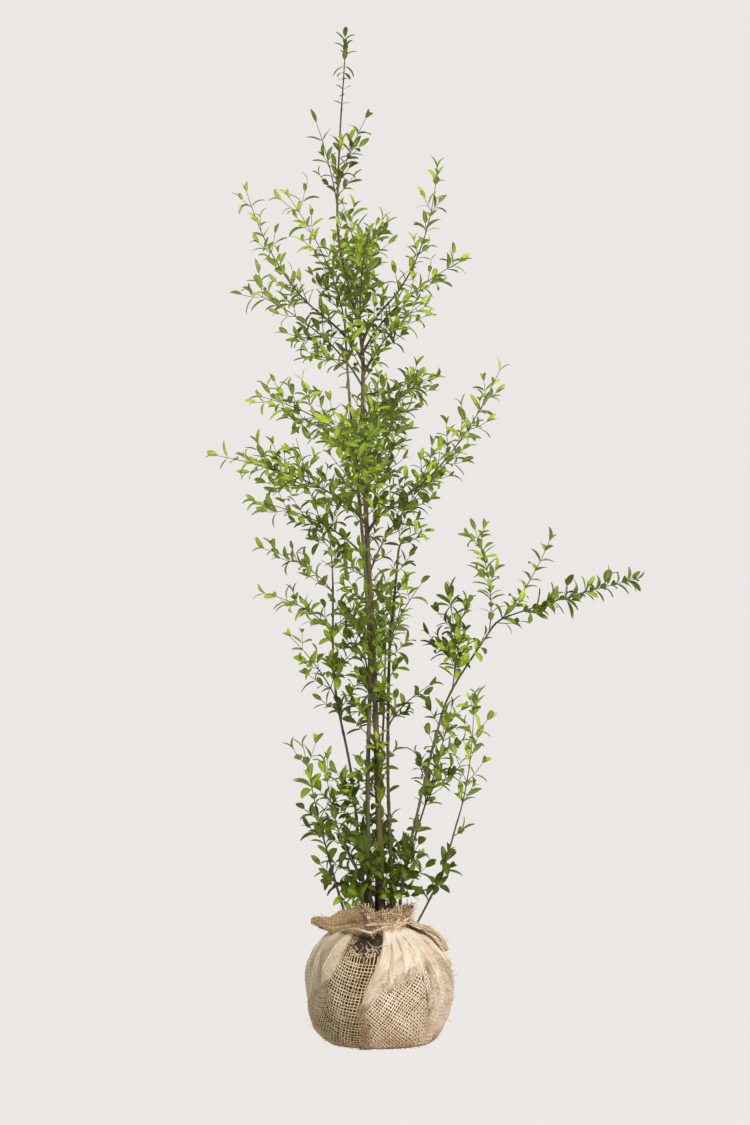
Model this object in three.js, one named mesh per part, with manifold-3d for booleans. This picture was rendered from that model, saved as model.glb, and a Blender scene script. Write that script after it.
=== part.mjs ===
// A young hedge privet as a nursery sells it: slim stems that rise from a ball of soil wrapped in jute.
// Millimetres, +Z up. The origin is the centre of the ball's flat underside, +X is to the viewer's
// right and +Y is away from the viewer. Stems, boughs and masses of foliage are separate solids.
import * as THREE from "three";
import { mergeVertices } from "three/addons/utils/BufferGeometryUtils.js";
import Module from "manifold-3d";

const wasm = await Module();
wasm.setup();

// Driving dimensions
const GAP = 0.3; // between any two solids
const BALL_TOP = 232; // the tied neck of the wrapped ball
const UNDERSIDE = 98; // radius of the flat underside
const NECK = 44; // radius of the flat top that the stems rise from
const COLLAR = { x: 8, inner: 44, outer: 54, top: 272 }; // the gathered cloth above the tie
const PLEAT_HEIGHT = 11; // how far a pleat stands out of the ball
const PLEAT_WIDTH = 8; // degrees
const FAN_HEIGHT = 107; // the pleats have turned by their whole angle this far below the tie
const CORNERS = [ // headings, in degrees, of the cloth's drawn-up corners, and the turns of their pleats
  { at: -52, turns: [-50, -27, -6, 17, 42] },
  { at: -150, turns: [-24, -4, 14] },
  { at: 118, turns: [-42, -20, 0, 22, 44] },
  { at: 30, turns: [-22, 0, 24] },
];
const HOLLOW = { at: -107, height: 203, width: 15, tall: 17, depth: 15 };
const GATHER = { at: [36, -45, 240], size: [24, 15, 21], turn: 0.66 }; // the cloth twisted under the tie
const EAR = { // the long corner of the cloth, with its half-widths at its root and tip
  spine: [[-30, -34, 240], [-62, -42, 238], [-96, -46, 240], [-134, -44, 244]],
  wide: [26, 4], deep: [9, 3], ease: 1.3,
};
const FLAP = { // the corner that lies over the right shoulder
  spine: [[58, -22, 234], [88, -28, 223], [116, -32, 203], [135, -34, 180]],
  wide: [5, 3], deep: [24, 13], ease: 1,
};
const LEAF = {
  length: 64, width: 23, thickness: 2.5,
  widest: 0.45, rise: 0.06, droop: 0.14, // shares of its length
  sunk: 0.6, // depth of its root in the twig
  crowding: 0.8, // share of its room that it keeps from leaves of its own mass
};
const LEAF_STEP = 30; // along a shoot, from one pair of leaves to the next
const SHOOT_STEP = 104; // along a mass's stem, from one pair of side shoots to the next
const TWIG = 2.4; // radius of a mass's stem at its foot, at most
const TWIG_TIP = 1;
const TAPER = 0.72; // a side shoot's foot against the stem that it leaves
const JOINT = 80; // a mass's stem bends about this often
const SHORTEST = 26; // the least length of a side shoot
const BARE = 0.16; // share of a mass's stem, at its foot, that carries nothing

// Stems: foot and tip, and the places between that give each its lean and bends
const STEMS = {
  leader: {
    foot: [4, 2],
    via: [[-4, 4, 480], [-12, 6, 740], [-24, 2, 960], [-33, -4, 1180], [-35, -2, 1350],
      [-62, 0, 1470], [-82, 2, 1580], [-78, 4, 1750]],
    tip: [-69, 0, 1896], radius: [8.4, 1.5], flare: 3, sides: 7, steps: 18,
  },
  second_stem: {
    foot: [-20, -8],
    via: [[-24, -14, 480], [-20, -20, 740], [-34, -26, 980], [-58, -26, 1235]],
    tip: [-67, -20, 1372], radius: [5.4, 1.9], flare: 2, sides: 6, steps: 12,
  },
  right_upright_stem: {
    foot: [27, 14], via: [[16, 24, 490], [18, 28, 740], [27, 24, 850]],
    tip: [36, 18, 954], radius: [3.4, 2.2], flare: 1, sides: 5, steps: 9,
  },
  left_upright_stem: {
    foot: [-22, 14], via: [[-38, 16, 358], [-56, 22, 520], [-88, 26, 695]],
    tip: [-92, 24, 890], radius: [3.4, 2.1], flare: 1, sides: 5, steps: 9,
  },
  arching_stem: {
    foot: [38, -12], via: [[43, -16, 311], [76, -26, 463], [110, -34, 604], [139, -38, 685]],
    tip: [216, -44, 805], radius: [3.6, 2.2], flare: 1, sides: 5, steps: 10,
  },
  far_right_stem: {
    foot: [60, 16, 205], via: [[118, 24, 320]],
    tip: [152, 28, 430], radius: [2.6, 2], flare: 0, sides: 5, steps: 5,
  },
  mid_right_stem: {
    foot: [16, 24], via: [[26, 30, 285], [56, 42, 358]],
    tip: [78, 50, 424], radius: [2.8, 2], flare: 0, sides: 5, steps: 5,
  },
  left_low_stem: {
    foot: [-54, 8, 205], via: [[-78, 4, 280]],
    tip: [-98, 0, 352], radius: [2.6, 2], flare: 0, sides: 5, steps: 4,
  },
  left_front_stem: {
    foot: [-10, -20], via: [[-18, -24, 285]],
    tip: [-58, -46, 362], radius: [2.7, 2], flare: 0, sides: 5, steps: 5,
  },
  back_stem: {
    foot: [-8, 24], via: [[-7, 29, 285], [-4, 62, 430], [6, 96, 600]],
    tip: [10, 116, 720], radius: [3.4, 1.8], flare: 0.5, sides: 5, steps: 7,
  },
};

// Boughs: each leaves a limb at a height, or goes on from its tip, and reaches its own tip
const BOUGHS = {
  upper_left_bough: { on: "leader", at: 1318, tip: [-112, -10, 1408], radius: [3, 2] },
  upper_right_bough: { on: "leader", at: 1352, tip: [14, -10, 1430], radius: [3, 2] },
  mid_right_bough: { on: "leader", at: 984, tip: [40, -12, 1052], radius: [3.6, 2.2] },
  mid_left_bough: { on: "leader", at: 1000, tip: [-92, -8, 1062], radius: [3.2, 2.1] },
  right_arm: { on: "arching_stem", at: "tip", tip: [250, -46, 828], radius: [2.3, 2] },
};

// Masses of foliage: the furthest leaf of each, and how far its shoots spread round its own stem
const MASSES = {
  tip_spray: { on: "leader", at: "tip", tip: [-68, 0, 1966], spread: 34 },
  leader_left_spray: { on: "leader", at: 1620, tip: [-130, -24, 1800], spread: 60 },
  leader_right_spray: { on: "leader", at: 1650, tip: [-18, 18, 1812], spread: 50 },
  crown_left_spray: { on: "second_stem", at: "tip", tip: [-186, -50, 1648], spread: 75 },
  upper_left_spray: { on: "upper_left_bough", at: "tip", tip: [-264, -16, 1668], spread: 60 },
  left_shoulder_spray: { on: "leader", at: 1268, tip: [-270, 66, 1470], spread: 75 },
  crown_right_spray: { on: "leader", at: 1420, tip: [24, 66, 1610], spread: 70 },
  upper_right_spray: { on: "upper_right_bough", at: "tip", tip: [112, -20, 1712], spread: 55 },
  right_shoulder_spray: { on: "leader", at: 1335, tip: [178, 30, 1528], spread: 75 },
  upper_back_spray: { on: "leader", at: 1380, tip: [-40, 216, 1600], spread: 90 },
  crown_front_spray: { on: "leader", at: 1372, tip: [-20, -196, 1560], spread: 90 },
  right_tuft: { on: "leader", at: 1290, tip: [92, -64, 1436], spread: 58 },
  mid_right_spray: { on: "mid_right_bough", at: "tip", tip: [240, -30, 1322], spread: 80 },
  mid_right_upper_spray: { on: "leader", at: 1170, tip: [112, 60, 1300], spread: 75, seed: 2 },
  mid_left_arm_spray: { on: "mid_left_bough", at: "tip", tip: [-345, -14, 1140], spread: 50 },
  mid_left_upper_spray: { on: "leader", at: 1130, tip: [-250, 40, 1258], spread: 80, seed: 3 },
  mid_left_lower_spray: { on: "leader", at: 930, tip: [-262, -40, 1052], spread: 72 },
  left_column_spray: { on: "left_upright_stem", at: "tip", tip: [-118, 10, 1120], spread: 66 },
  left_middle_arm_spray: { on: "left_upright_stem", at: 870, tip: [-246, 30, 962], spread: 50 },
  left_thin_arm_spray: { on: "left_upright_stem", at: 790, tip: [-241, -10, 874], spread: 34 },
  mid_back_spray: { on: "leader", at: 1030, tip: [0, 262, 1240], spread: 100, seed: 2 },
  mid_front_spray: { on: "second_stem", at: 985, tip: [-50, -240, 1210], spread: 100, seed: 3 },
  stub_spray: { on: "right_upright_stem", at: "tip", tip: [106, 6, 992], spread: 40 },
  mid_right_lower_spray: { on: "leader", at: 905, tip: [100, 70, 1090], spread: 62 },
  centre_right_spray: { on: "right_upright_stem", at: 780, tip: [94, 40, 905], spread: 60 },
  centre_left_spray: { on: "second_stem", at: 690, tip: [-64, -92, 870], spread: 80, seed: 2 },
  centre_back_spray: { on: "back_stem", at: "tip", tip: [0, 196, 900], spread: 100 },
  left_lower_spray: { on: "left_upright_stem", at: 660, tip: [-188, -10, 800], spread: 70 },
  right_twig_spray: { on: "right_upright_stem", at: 610, tip: [114, 30, 700], spread: 45 },
  fork_spray: { on: "arching_stem", at: 684, tip: [104, -40, 896], spread: 85 },
  upright_spray: { on: "arching_stem", at: 795, tip: [176, -20, 1012], spread: 50 },
  outer_upright_spray: { on: "right_arm", at: 820, tip: [334, -36, 990], spread: 42 },
  arm_spray: { on: "right_arm", at: "tip", tip: [516, -58, 905], spread: 46 },
  far_right_spray: { on: "far_right_stem", at: "tip", tip: [182, 6, 692], spread: 60 },
  mid_right_low_spray: { on: "mid_right_stem", at: "tip", tip: [146, 76, 668], spread: 60 },
  left_low_spray: { on: "left_low_stem", at: "tip", tip: [-152, -10, 592], spread: 70, seed: 3 },
  left_front_spray: { on: "left_front_stem", at: "tip", tip: [-106, -86, 566], spread: 66 },
  base_left_spray: { on: "left_upright_stem", at: 300, tip: [-96, 66, 420], spread: 70 },
  base_right_spray: { on: "arching_stem", at: 300, tip: [74, -84, 410], spread: 60 },
  base_front_spray: { on: "second_stem", at: 284, tip: [-14, -106, 400], spread: 70 },
  base_back_spray: { on: "back_stem", at: 300, tip: [20, 140, 430], spread: 70 },
};

const BARK = new THREE.MeshStandardMaterial({ color: 0x6e6455, roughness: 0.9, metalness: 0 });
const LEAVES = new THREE.MeshStandardMaterial({ color: 0x5d7a26, roughness: 0.6, metalness: 0 });
const JUTE = new THREE.MeshStandardMaterial({ color: 0xb59b78, roughness: 0.95, metalness: 0 });

const QUARTER = Math.PI / 2;
const point = (numbers) => new THREE.Vector3(...numbers);
const lerp = THREE.MathUtils.lerp;
const smooth = THREE.MathUtils.smoothstep;

// A repeatable run of numbers between 0 and 1 for each mass, from its name
function seeded(name) {
  let state = [...name].reduce((sum, letter) => Math.imul(sum, 31) + letter.charCodeAt(0), 7) >>> 0;
  return () => {
    state = (Math.imul(state, 1664525) + 1013904223) >>> 0;
    return state / 4294967296;
  };
}

// A three.js geometry as a solid that can be joined and cut
function solid(geometry) {
  const bare = geometry.clone();
  bare.deleteAttribute("normal");
  bare.deleteAttribute("uv");
  const merged = mergeVertices(bare, 1e-4);
  return new wasm.Manifold(new wasm.Mesh({
    numProp: 3,
    vertProperties: merged.attributes.position.array,
    triVerts: new Uint32Array(merged.index.array),
  }));
}

// The largest body of a solid, so that no loose scrap stays
function largest(made) {
  return made.decompose().reduce((best, body) => (body.volume() > best.volume() ? body : best));
}

function meshOf(name, made, material) {
  const { vertProperties, triVerts } = largest(made).getMesh();
  const geometry = new THREE.BufferGeometry();
  geometry.setAttribute("position", new THREE.BufferAttribute(vertProperties, 3));
  geometry.setIndex(new THREE.BufferAttribute(triVerts, 1));
  geometry.computeVertexNormals();
  const mesh = new THREE.Mesh(geometry, material);
  mesh.name = name;
  return mesh;
}

// A curve made of straight lengths, as a twig's mesh is, so that a leaf's root lies right inside it
class Jointed extends THREE.Curve {
  constructor(curve, steps) {
    super();
    this.joints = curve.getPoints(steps);
  }

  getPoint(t) {
    const whole = THREE.MathUtils.clamp(t, 0, 1) * (this.joints.length - 1);
    const first = Math.min(Math.floor(whole), this.joints.length - 2);
    return this.joints[first].clone().lerp(this.joints[first + 1], whole - first);
  }
}

// A place on a curve, the way the curve runs there, and a direction square to it at an angle round it
function placeOn(curve, t) {
  const chord = curve.getPoint(1).sub(curve.getPoint(0));
  const fixed = Math.abs(chord.y) < 0.8 * chord.length() ? point([0, 1, 0]) : point([1, 0, 0]);
  const tangent = curve.getTangent(t);
  const side = new THREE.Vector3().crossVectors(fixed, tangent).normalize();
  const up = new THREE.Vector3().crossVectors(tangent, side);
  const around = (roll) => side.clone().multiplyScalar(Math.cos(roll)).addScaledVector(up, Math.sin(roll));
  return { spot: curve.getPoint(t), tangent, around };
}

// A cylinder bent along a curve: size(t) gives its two half-widths, roll turns its corners round it, and
// its tip goes on past the curve's end by beyond
function tube(curve, size, sides, steps, roll = 0, beyond = 0) {
  const shape = new THREE.CylinderGeometry(1, 1, 1, sides, steps);
  const spots = shape.getAttribute("position");
  const local = new THREE.Vector3();
  for (let i = 0; i < spots.count; i++) {
    local.fromBufferAttribute(spots, i);
    const t = THREE.MathUtils.clamp(local.y + 0.5, 0, 1);
    const { spot, tangent, around } = placeOn(curve, t);
    const [wide, deep] = size(t);
    if (t === 1) spot.addScaledVector(tangent, beyond);
    spot.addScaledVector(around(roll), local.z * wide);
    spot.addScaledVector(around(roll + QUARTER), local.x * deep);
    spots.setXYZ(i, spot.x, spot.y, spot.z);
  }
  return solid(shape);
}

// Limbs

function radiusAt(limb, t) {
  const foot = limb.flare ? limb.flare * Math.exp(-t * limb.length / 30) : 0;
  return lerp(limb.radius[0], limb.radius[1], t) + foot;
}

// A limb, or one that is larger by extra, to cut clear of it
function limbTube(limb, extra = 0) {
  const size = (t) => [radiusAt(limb, t) + extra, radiusAt(limb, t) + extra];
  return tube(limb.curve, size, limb.sides, limb.steps, 0, extra);
}

// Where a limb's centre line is at a height
function heightOn(curve, height) {
  let low = 0;
  let high = 1;
  for (let i = 0; i < 30; i++) {
    const middle = (low + high) / 2;
    if (curve.getPoint(middle).z < height) low = middle;
    else high = middle;
  }
  return low;
}

// The curve of a shoot that leaves a limb, first along it and then out to its own tip. Where it goes on
// from the limb's tip, it starts clear of it.
function branchCurve(parent, at, tip, clear = GAP) {
  const t = at === "tip" ? 1 : heightOn(parent.curve, at);
  const start = parent.curve.getPoint(t);
  const along = parent.curve.getTangent(t);
  if (at === "tip") start.addScaledVector(along, clear);
  const chord = tip.clone().sub(start);
  const reach = chord.length();
  const share = at === "tip" ? 1 : 0.45;
  const first = chord.normalize().multiplyScalar(1 - share).addScaledVector(along, share).normalize();
  return new THREE.QuadraticBezierCurve3(start, start.clone().addScaledVector(first, 0.42 * reach), tip);
}

const limbs = {};
for (const [name, stem] of Object.entries(STEMS)) {
  const [x, y, z = BALL_TOP - 6] = stem.foot;
  const places = [[x, y, z], ...stem.via, stem.tip].map(point);
  const curve = new THREE.CatmullRomCurve3(places, false, "catmullrom", 0.5);
  limbs[name] = { ...stem, curve, length: curve.getLength() };
}
for (const [name, bough] of Object.entries(BOUGHS)) {
  const curve = branchCurve(limbs[bough.on], bough.at, point(bough.tip));
  limbs[name] = { ...bough, curve, length: curve.getLength(), sides: 5, steps: 4 };
}

// The wrapped ball

// Half its outline, from the underside's centre up to the neck: radius and height
const OUTLINE = [[UNDERSIDE, 0], [112, 10], [121, 25], [133, 58], [139, 95], [140, 122], [136, 156],
  [125, 187], [109, 206], [88, 218], [66, 226], [NECK + 8, BALL_TOP]];

const degreesBetween = (a, b) => THREE.MathUtils.euclideanModulo(a - b + 180, 360) - 180;

// Pleats leave the tie together at each corner of the cloth and fan out down the ball, then fade
function pleats(heading, height) {
  const fan = (BALL_TOP - height) / FAN_HEIGHT;
  const strength = smooth(height, 45, 170) * (1 - smooth(height, 218, BALL_TOP));
  const ridges = CORNERS.flatMap(({ at, turns }) => turns.map((turn) => at + turn * fan));
  const nearest = Math.min(...ridges.map((ridge) => Math.abs(degreesBetween(heading, ridge))));
  return PLEAT_HEIGHT * strength * (Math.exp(-((nearest / PLEAT_WIDTH) ** 2)) - 0.5);
}

// The hollow at the front, where the cloth's edge falls short of the tie and shows the soil
function hollow(heading, height) {
  const sideways = degreesBetween(heading, HOLLOW.at) / HOLLOW.width;
  const upright = (height - HOLLOW.height) / HOLLOW.tall;
  return HOLLOW.depth * Math.exp(-(sideways ** 2) - upright ** 2);
}

// The ball, or one that is larger by extra, to cut clear of it
function ball(extra = 0) {
  const outline = [[0, 0], ...OUTLINE, [0, BALL_TOP]].map(([r, z]) => new THREE.Vector2(r, z));
  const shape = new THREE.LatheGeometry(outline, 48);
  const spots = shape.getAttribute("position");
  for (let i = 0; i < spots.count; i++) {
    const height = spots.getY(i);
    const radius = Math.hypot(spots.getX(i), spots.getZ(i));
    const turn = Math.atan2(-spots.getZ(i), spots.getX(i));
    const heading = THREE.MathUtils.radToDeg(turn);
    const grown = radius < 1 ? 0 : radius + extra + pleats(heading, height) - hollow(heading, height);
    const lift = extra * smooth(height, 150, BALL_TOP);
    spots.setXYZ(i, grown * Math.cos(turn), grown * Math.sin(turn), height + lift);
  }
  return solid(shape);
}

// The gathered cloth above the tie: a ruffled ring round the stems
function collar(extra = 0) {
  const { x, inner, outer, top } = COLLAR;
  const foot = BALL_TOP + GAP - extra;
  const section = [[inner, foot], [outer + 1, foot], [outer - 3, foot + 8], [outer, top - 14],
    [outer + 3, top], [inner + 3, top - 2], [inner, foot]].map(([r, z]) => new THREE.Vector2(r, z));
  const shape = new THREE.LatheGeometry(section, 24);
  const spots = shape.getAttribute("position");
  const middle = (inner + outer) / 2;
  for (let i = 0; i < spots.count; i++) {
    const turn = Math.atan2(-spots.getZ(i), spots.getX(i));
    const height = spots.getY(i);
    const rise = (height - foot) / (top - foot);
    const radius = Math.hypot(spots.getX(i), spots.getZ(i));
    const ruffle = Math.max(0, rise * (2.6 * Math.sin(9 * turn) + 1.6 * Math.sin(14 * turn + 1)));
    const out = radius > middle ? radius + extra + ruffle : radius - extra + 0.4 * ruffle;
    const crest = rise > 0.8 ? 4 * Math.sin(5 * turn + 0.6) + 2.5 * Math.sin(11 * turn) + extra : 0;
    spots.setXYZ(i, x + out * Math.cos(turn), out * Math.sin(turn), height + crest);
  }
  return solid(shape);
}

// The corner drawn up at the front right, twisted under the tie
function gather(extra = 0) {
  const shape = new THREE.SphereGeometry(1, 10, 7);
  shape.scale(...GATHER.size.map((half) => half + extra));
  shape.rotateZ(GATHER.turn);
  shape.translate(...GATHER.at);
  return solid(shape);
}

// A corner of the cloth that hangs free
function looseCorner({ spine, wide, deep, ease }) {
  const curve = new THREE.CatmullRomCurve3(spine.map(point), false, "catmullrom", 0.5);
  return tube(curve, (t) => [lerp(...wide, t ** ease), lerp(...deep, t)], 8, 6);
}

const model = new THREE.Group();
model.add(meshOf("root_ball", ball(), JUTE));
const neckCloth = collar().add(gather()).subtract(ball(GAP));
model.add(meshOf("wrap_collar", neckCloth, JUTE));
const clearOfWrap = ball(GAP).add(collar(GAP)).add(gather(1.2 * GAP));
model.add(meshOf("wrap_ear", looseCorner(EAR).subtract(clearOfWrap), JUTE));
model.add(meshOf("wrap_flap", looseCorner(FLAP).subtract(clearOfWrap), JUTE));

// Each stem has a flat foot on the ball, and each bough is cut clear of the limb that it leaves
const grown = {};
for (const [name, limb] of Object.entries(limbs)) {
  let made = limbTube(limb);
  if (STEMS[name]) made = made.subtract(clearOfWrap);
  if (BOUGHS[name] && limb.at !== "tip") made = made.subtract(limbTube(limbs[limb.on], GAP));
  grown[name] = made;
  model.add(meshOf(name, made, BARK));
}

// Room: small spheres stand for what has grown, so that nothing new touches it

const CELL = 26;
const cells = new Map();
const cellOf = (p) => [p.x, p.y, p.z].map((value) => Math.floor(value / CELL));

function occupy(spheres) {
  for (const sphere of spheres) {
    const key = cellOf(sphere.centre).join();
    if (!cells.has(key)) cells.set(key, []);
    cells.get(key).push(sphere);
  }
}

// own is the share of a sphere's radius that counts against the same mass
function isClear(spheres, owner, own) {
  return spheres.every((sphere) => {
    const [cx, cy, cz] = cellOf(sphere.centre);
    for (let i = 0; i < 27; i++) {
      const key = [cx - 1 + (i % 3), cy - 1 + (Math.floor(i / 3) % 3), cz - 1 + Math.floor(i / 9)].join();
      for (const other of cells.get(key) ?? []) {
        const share = other.owner === owner ? own : 1;
        if (sphere.centre.distanceTo(other.centre) < share * (sphere.radius + other.radius)) return false;
      }
    }
    return true;
  });
}

function beads(curve, from, radius, owner, spacing = 5) {
  const count = Math.max(2, Math.ceil(curve.getLength() / spacing));
  return Array.from({ length: count + 1 }, (_, i) => from + ((1 - from) * i) / count)
    .map((t) => ({ centre: curve.getPoint(t), radius: radius(t), owner }));
}

for (const [name, limb] of Object.entries(limbs)) {
  occupy(beads(limb.curve, 0, (t) => radiusAt(limb, t) + 1.2, name, 4));
}
const clearOfCollar = (p) => p.z > COLLAR.top + 8 || Math.hypot(p.x - COLLAR.x, p.y) > COLLAR.outer + 12;
const clearOfWrapping = (p) => clearOfCollar(p) && p.z > BALL_TOP + 12;

// Foliage

const masses = {};
for (const [name, mass] of Object.entries(MASSES)) {
  const parent = limbs[mass.on];
  const tip = point(mass.tip);
  const full = branchCurve(parent, mass.at, tip);
  const end = tip.clone().addScaledVector(full.getTangent(1), -0.6 * LEAF.length);
  const t = mass.at === "tip" ? 1 : heightOn(parent.curve, mass.at);
  const foot = Math.min(TWIG, (mass.at === "tip" ? 1 : TAPER) * radiusAt(parent, t));
  const steps = Math.max(2, Math.round(full.getLength() / JOINT));
  const first = new Jointed(branchCurve(parent, mass.at, end), steps);
  const tilt = parent.curve.getTangent(t).angleTo(first.getTangent(0));
  const curve = new Jointed(branchCurve(parent, mass.at, end, 1.1 * GAP + foot * Math.sin(tilt)), steps);
  masses[name] = { ...mass, name, curve, foot, line: curve.getPoints(8) };
}

// A mass keeps to the space nearer to its own stem than to any other, within its spread
function inOwnSpace(mass, p) {
  const distance = (line) => Math.min(...line.map((q) => q.distanceTo(p)));
  const own = distance(mass.line);
  return own < mass.spread + 0.5 * LEAF.length
    && Object.values(masses).every((other) => other === mass || distance(other.line) > own + 2);
}

// One leaf as a six-faced solid: flat above, a keel below, rising from its root and drooping to its tip
function leaf(root, direction, normal, length) {
  const side = new THREE.Vector3().crossVectors(normal, direction);
  const half = (LEAF.width / 2) * (length / LEAF.length);
  const shape = new THREE.CylinderGeometry(1, 1, 1, 3, 2);
  const spots = shape.getAttribute("position");
  for (let i = 0; i < spots.count; i++) {
    const level = Math.round(2 * spots.getY(i)); // the root, the widest place or the tip
    const keel = spots.getZ(i) > 0.5 ? LEAF.thickness : 0;
    const along = [0, LEAF.widest * length, length][level + 1];
    const height = [0, LEAF.rise * length - keel, -LEAF.droop * length][level + 1];
    const wide = level === 0 ? Math.sign(Math.round(spots.getX(i))) * half : 0;
    const spot = root.clone().addScaledVector(direction, along).addScaledVector(side, wide)
      .addScaledVector(normal, height);
    spots.setXYZ(i, spot.x, spot.y, spot.z);
  }
  return solid(shape);
}

// The direction that leaves a place on a shoot at an angle to it, on the side that roll gives
function outward({ tangent, around }, roll, angle) {
  return tangent.clone().multiplyScalar(Math.cos(angle)).addScaledVector(around(roll), Math.sin(angle));
}

// Spheres that stand for a leaf: the share of its length, of its half-width, and the height over its chord
const LEAF_ROOM = [[0.3, 0.8, 0.03], [0.5, 1, 0.05], [0.72, 0.8, -0.03], [0.96, 0.4, -0.12]];

// Tries one leaf at a place on a shoot: it grows only where it has room in its mass's own space
function tryLeaf(mass, pieces, place, roll, angle, length) {
  const direction = outward(place, roll, angle);
  const normal = outward(place, roll, angle - Math.PI / 2);
  const root = place.spot.clone().addScaledVector(direction, -LEAF.sunk);
  const half = (LEAF.width / 2) * (length / LEAF.length);
  const spheres = LEAF_ROOM.map(([share, wide, height]) => {
    const centre = root.clone().addScaledVector(direction, share * length);
    centre.addScaledVector(normal, height * length);
    return { centre, radius: half * wide + 0.8, owner: mass.name };
  });
  const fits = spheres.every(({ centre }) => inOwnSpace(mass, centre) && clearOfWrapping(centre));
  if (!fits || !isClear(spheres, mass.name, LEAF.crowding)) return;
  occupy(spheres);
  pieces.push(leaf(root, direction, normal, length));
}

// A four-sided twig, so that each pair of leaves leaves it from two of its flats
function twig(curve, foot, tip, roll) {
  const size = (t) => [lerp(foot, tip, t), lerp(foot, tip, t)];
  return tube(curve, size, 4, curve.joints.length - 1, roll + QUARTER / 2);
}

// Pairs of leaves along a shoot, each pair turned a quarter from the last, and two at its tip
function dress(mass, pieces, curve, random, from, firstRoll) {
  const length = curve.getLength();
  const pairs = Math.max(1, Math.round((length * (1 - from)) / LEAF_STEP));
  for (let k = 0; k <= pairs; k++) {
    const last = k === pairs;
    const place = placeOn(curve, Math.min(0.985, from + ((1 - from) * (k + 0.45)) / (pairs + 0.45)));
    const roll = firstRoll + QUARTER * k + 0.3 * (random() - 0.5);
    for (const half of [0, Math.PI]) {
      const angle = (last ? 0.42 : 0.95) + 0.3 * (random() - 0.5);
      const length = LEAF.length * (0.85 + 0.3 * random()) * (last ? 0.85 : 1);
      tryLeaf(mass, pieces, place, roll + half, angle, length);
    }
  }
}

// A side shoot curves up from its place on the mass's stem, if it has room there
function shoot(mass, pieces, place, roll, random, t) {
  const reach = mass.spread * (1.05 - 0.45 * t) * (0.75 + 0.4 * random());
  const out = outward(place, roll, 0.75 + 0.3 * random());
  const tip = place.spot.clone().addScaledVector(out, reach);
  tip.z += 0.22 * reach;
  const bend = place.spot.clone().addScaledVector(out, 0.5 * reach);
  const curve = new Jointed(new THREE.QuadraticBezierCurve3(place.spot, bend, tip), reach > 70 ? 2 : 1);
  const foot = TAPER * lerp(mass.foot, TWIG_TIP, t);
  const room = beads(curve, 0.25, () => foot + 1, mass.name);
  const inside = room.every(({ centre }) => inOwnSpace(mass, centre) && clearOfCollar(centre));
  if (reach < SHORTEST || !inside || !isClear(room, mass.name, 0.6)) return;
  occupy(room);
  const firstRoll = 2 * Math.PI * random();
  pieces.push(twig(curve, foot, TAPER * TWIG_TIP, firstRoll));
  dress(mass, pieces, curve, random, 0.3, firstRoll);
}

// The rule by which every mass grows: pairs of side shoots up its stem, shorter towards the tip
function grow(mass) {
  const random = seeded(mass.name + (mass.seed ?? ""));
  const length = mass.curve.getLength();
  const firstRoll = 2 * Math.PI * random();
  const pieces = [twig(mass.curve, mass.foot, TWIG_TIP, firstRoll)];
  occupy(beads(mass.curve, 0.12, () => mass.foot, mass.name));
  const nodes = Math.max(1, Math.round((length * (1 - BARE)) / SHOOT_STEP));
  for (let k = 0; k < nodes; k++) {
    const t = BARE + ((1 - BARE) * (k + 0.35)) / nodes;
    const roll = firstRoll + QUARTER * k + 0.3 * (random() - 0.5);
    for (const half of [0, Math.PI]) shoot(mass, pieces, placeOn(mass.curve, t), roll + half, random, t);
  }
  dress(mass, pieces, mass.curve, random, Math.max(BARE, 1 - 110 / length), firstRoll + QUARTER * nodes);
  return wasm.Manifold.union(pieces).subtract(limbTube(limbs[mass.on], GAP));
}

for (const mass of Object.values(masses)) {
  model.add(meshOf(mass.name, grow(mass), LEAVES));
}

export default model;
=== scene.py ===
# %% [markdown]
# # A young hedge privet on its root ball
# The plant was lifted from a nursery field with a ball of soil, and the ball was wrapped in open jute
# cloth whose corners were drawn up and tied round the stems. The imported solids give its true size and
# its main shapes. This lesson dresses them: bark on the stems, a full head of small leaves, and a cloth
# that is really woven, thread over thread.

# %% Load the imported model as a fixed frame
import math
import random
import bmesh
import bpy
import numpy as np
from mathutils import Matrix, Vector, noise


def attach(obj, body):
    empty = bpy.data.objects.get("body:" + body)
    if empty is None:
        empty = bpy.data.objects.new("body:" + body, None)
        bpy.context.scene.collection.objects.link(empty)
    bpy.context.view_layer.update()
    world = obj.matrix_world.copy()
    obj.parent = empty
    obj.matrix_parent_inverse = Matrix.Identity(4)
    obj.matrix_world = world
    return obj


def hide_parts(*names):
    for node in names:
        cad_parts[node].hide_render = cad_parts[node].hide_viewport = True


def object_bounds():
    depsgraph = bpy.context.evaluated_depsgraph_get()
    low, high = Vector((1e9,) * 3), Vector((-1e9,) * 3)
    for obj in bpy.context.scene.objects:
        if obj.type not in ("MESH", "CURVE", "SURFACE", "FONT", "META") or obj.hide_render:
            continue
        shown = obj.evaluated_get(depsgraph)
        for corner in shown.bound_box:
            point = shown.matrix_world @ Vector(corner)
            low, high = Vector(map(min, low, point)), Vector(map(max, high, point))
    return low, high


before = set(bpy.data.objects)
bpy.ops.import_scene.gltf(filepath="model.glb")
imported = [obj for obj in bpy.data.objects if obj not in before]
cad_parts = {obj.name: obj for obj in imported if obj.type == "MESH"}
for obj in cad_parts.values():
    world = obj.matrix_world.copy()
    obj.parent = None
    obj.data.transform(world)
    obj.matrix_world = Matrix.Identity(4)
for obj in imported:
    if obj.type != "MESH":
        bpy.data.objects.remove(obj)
CAD_BOX = [list(map(float, corner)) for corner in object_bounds()]
MM = 0.001
print("solids", len(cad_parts), "box", CAD_BOX)

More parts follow.
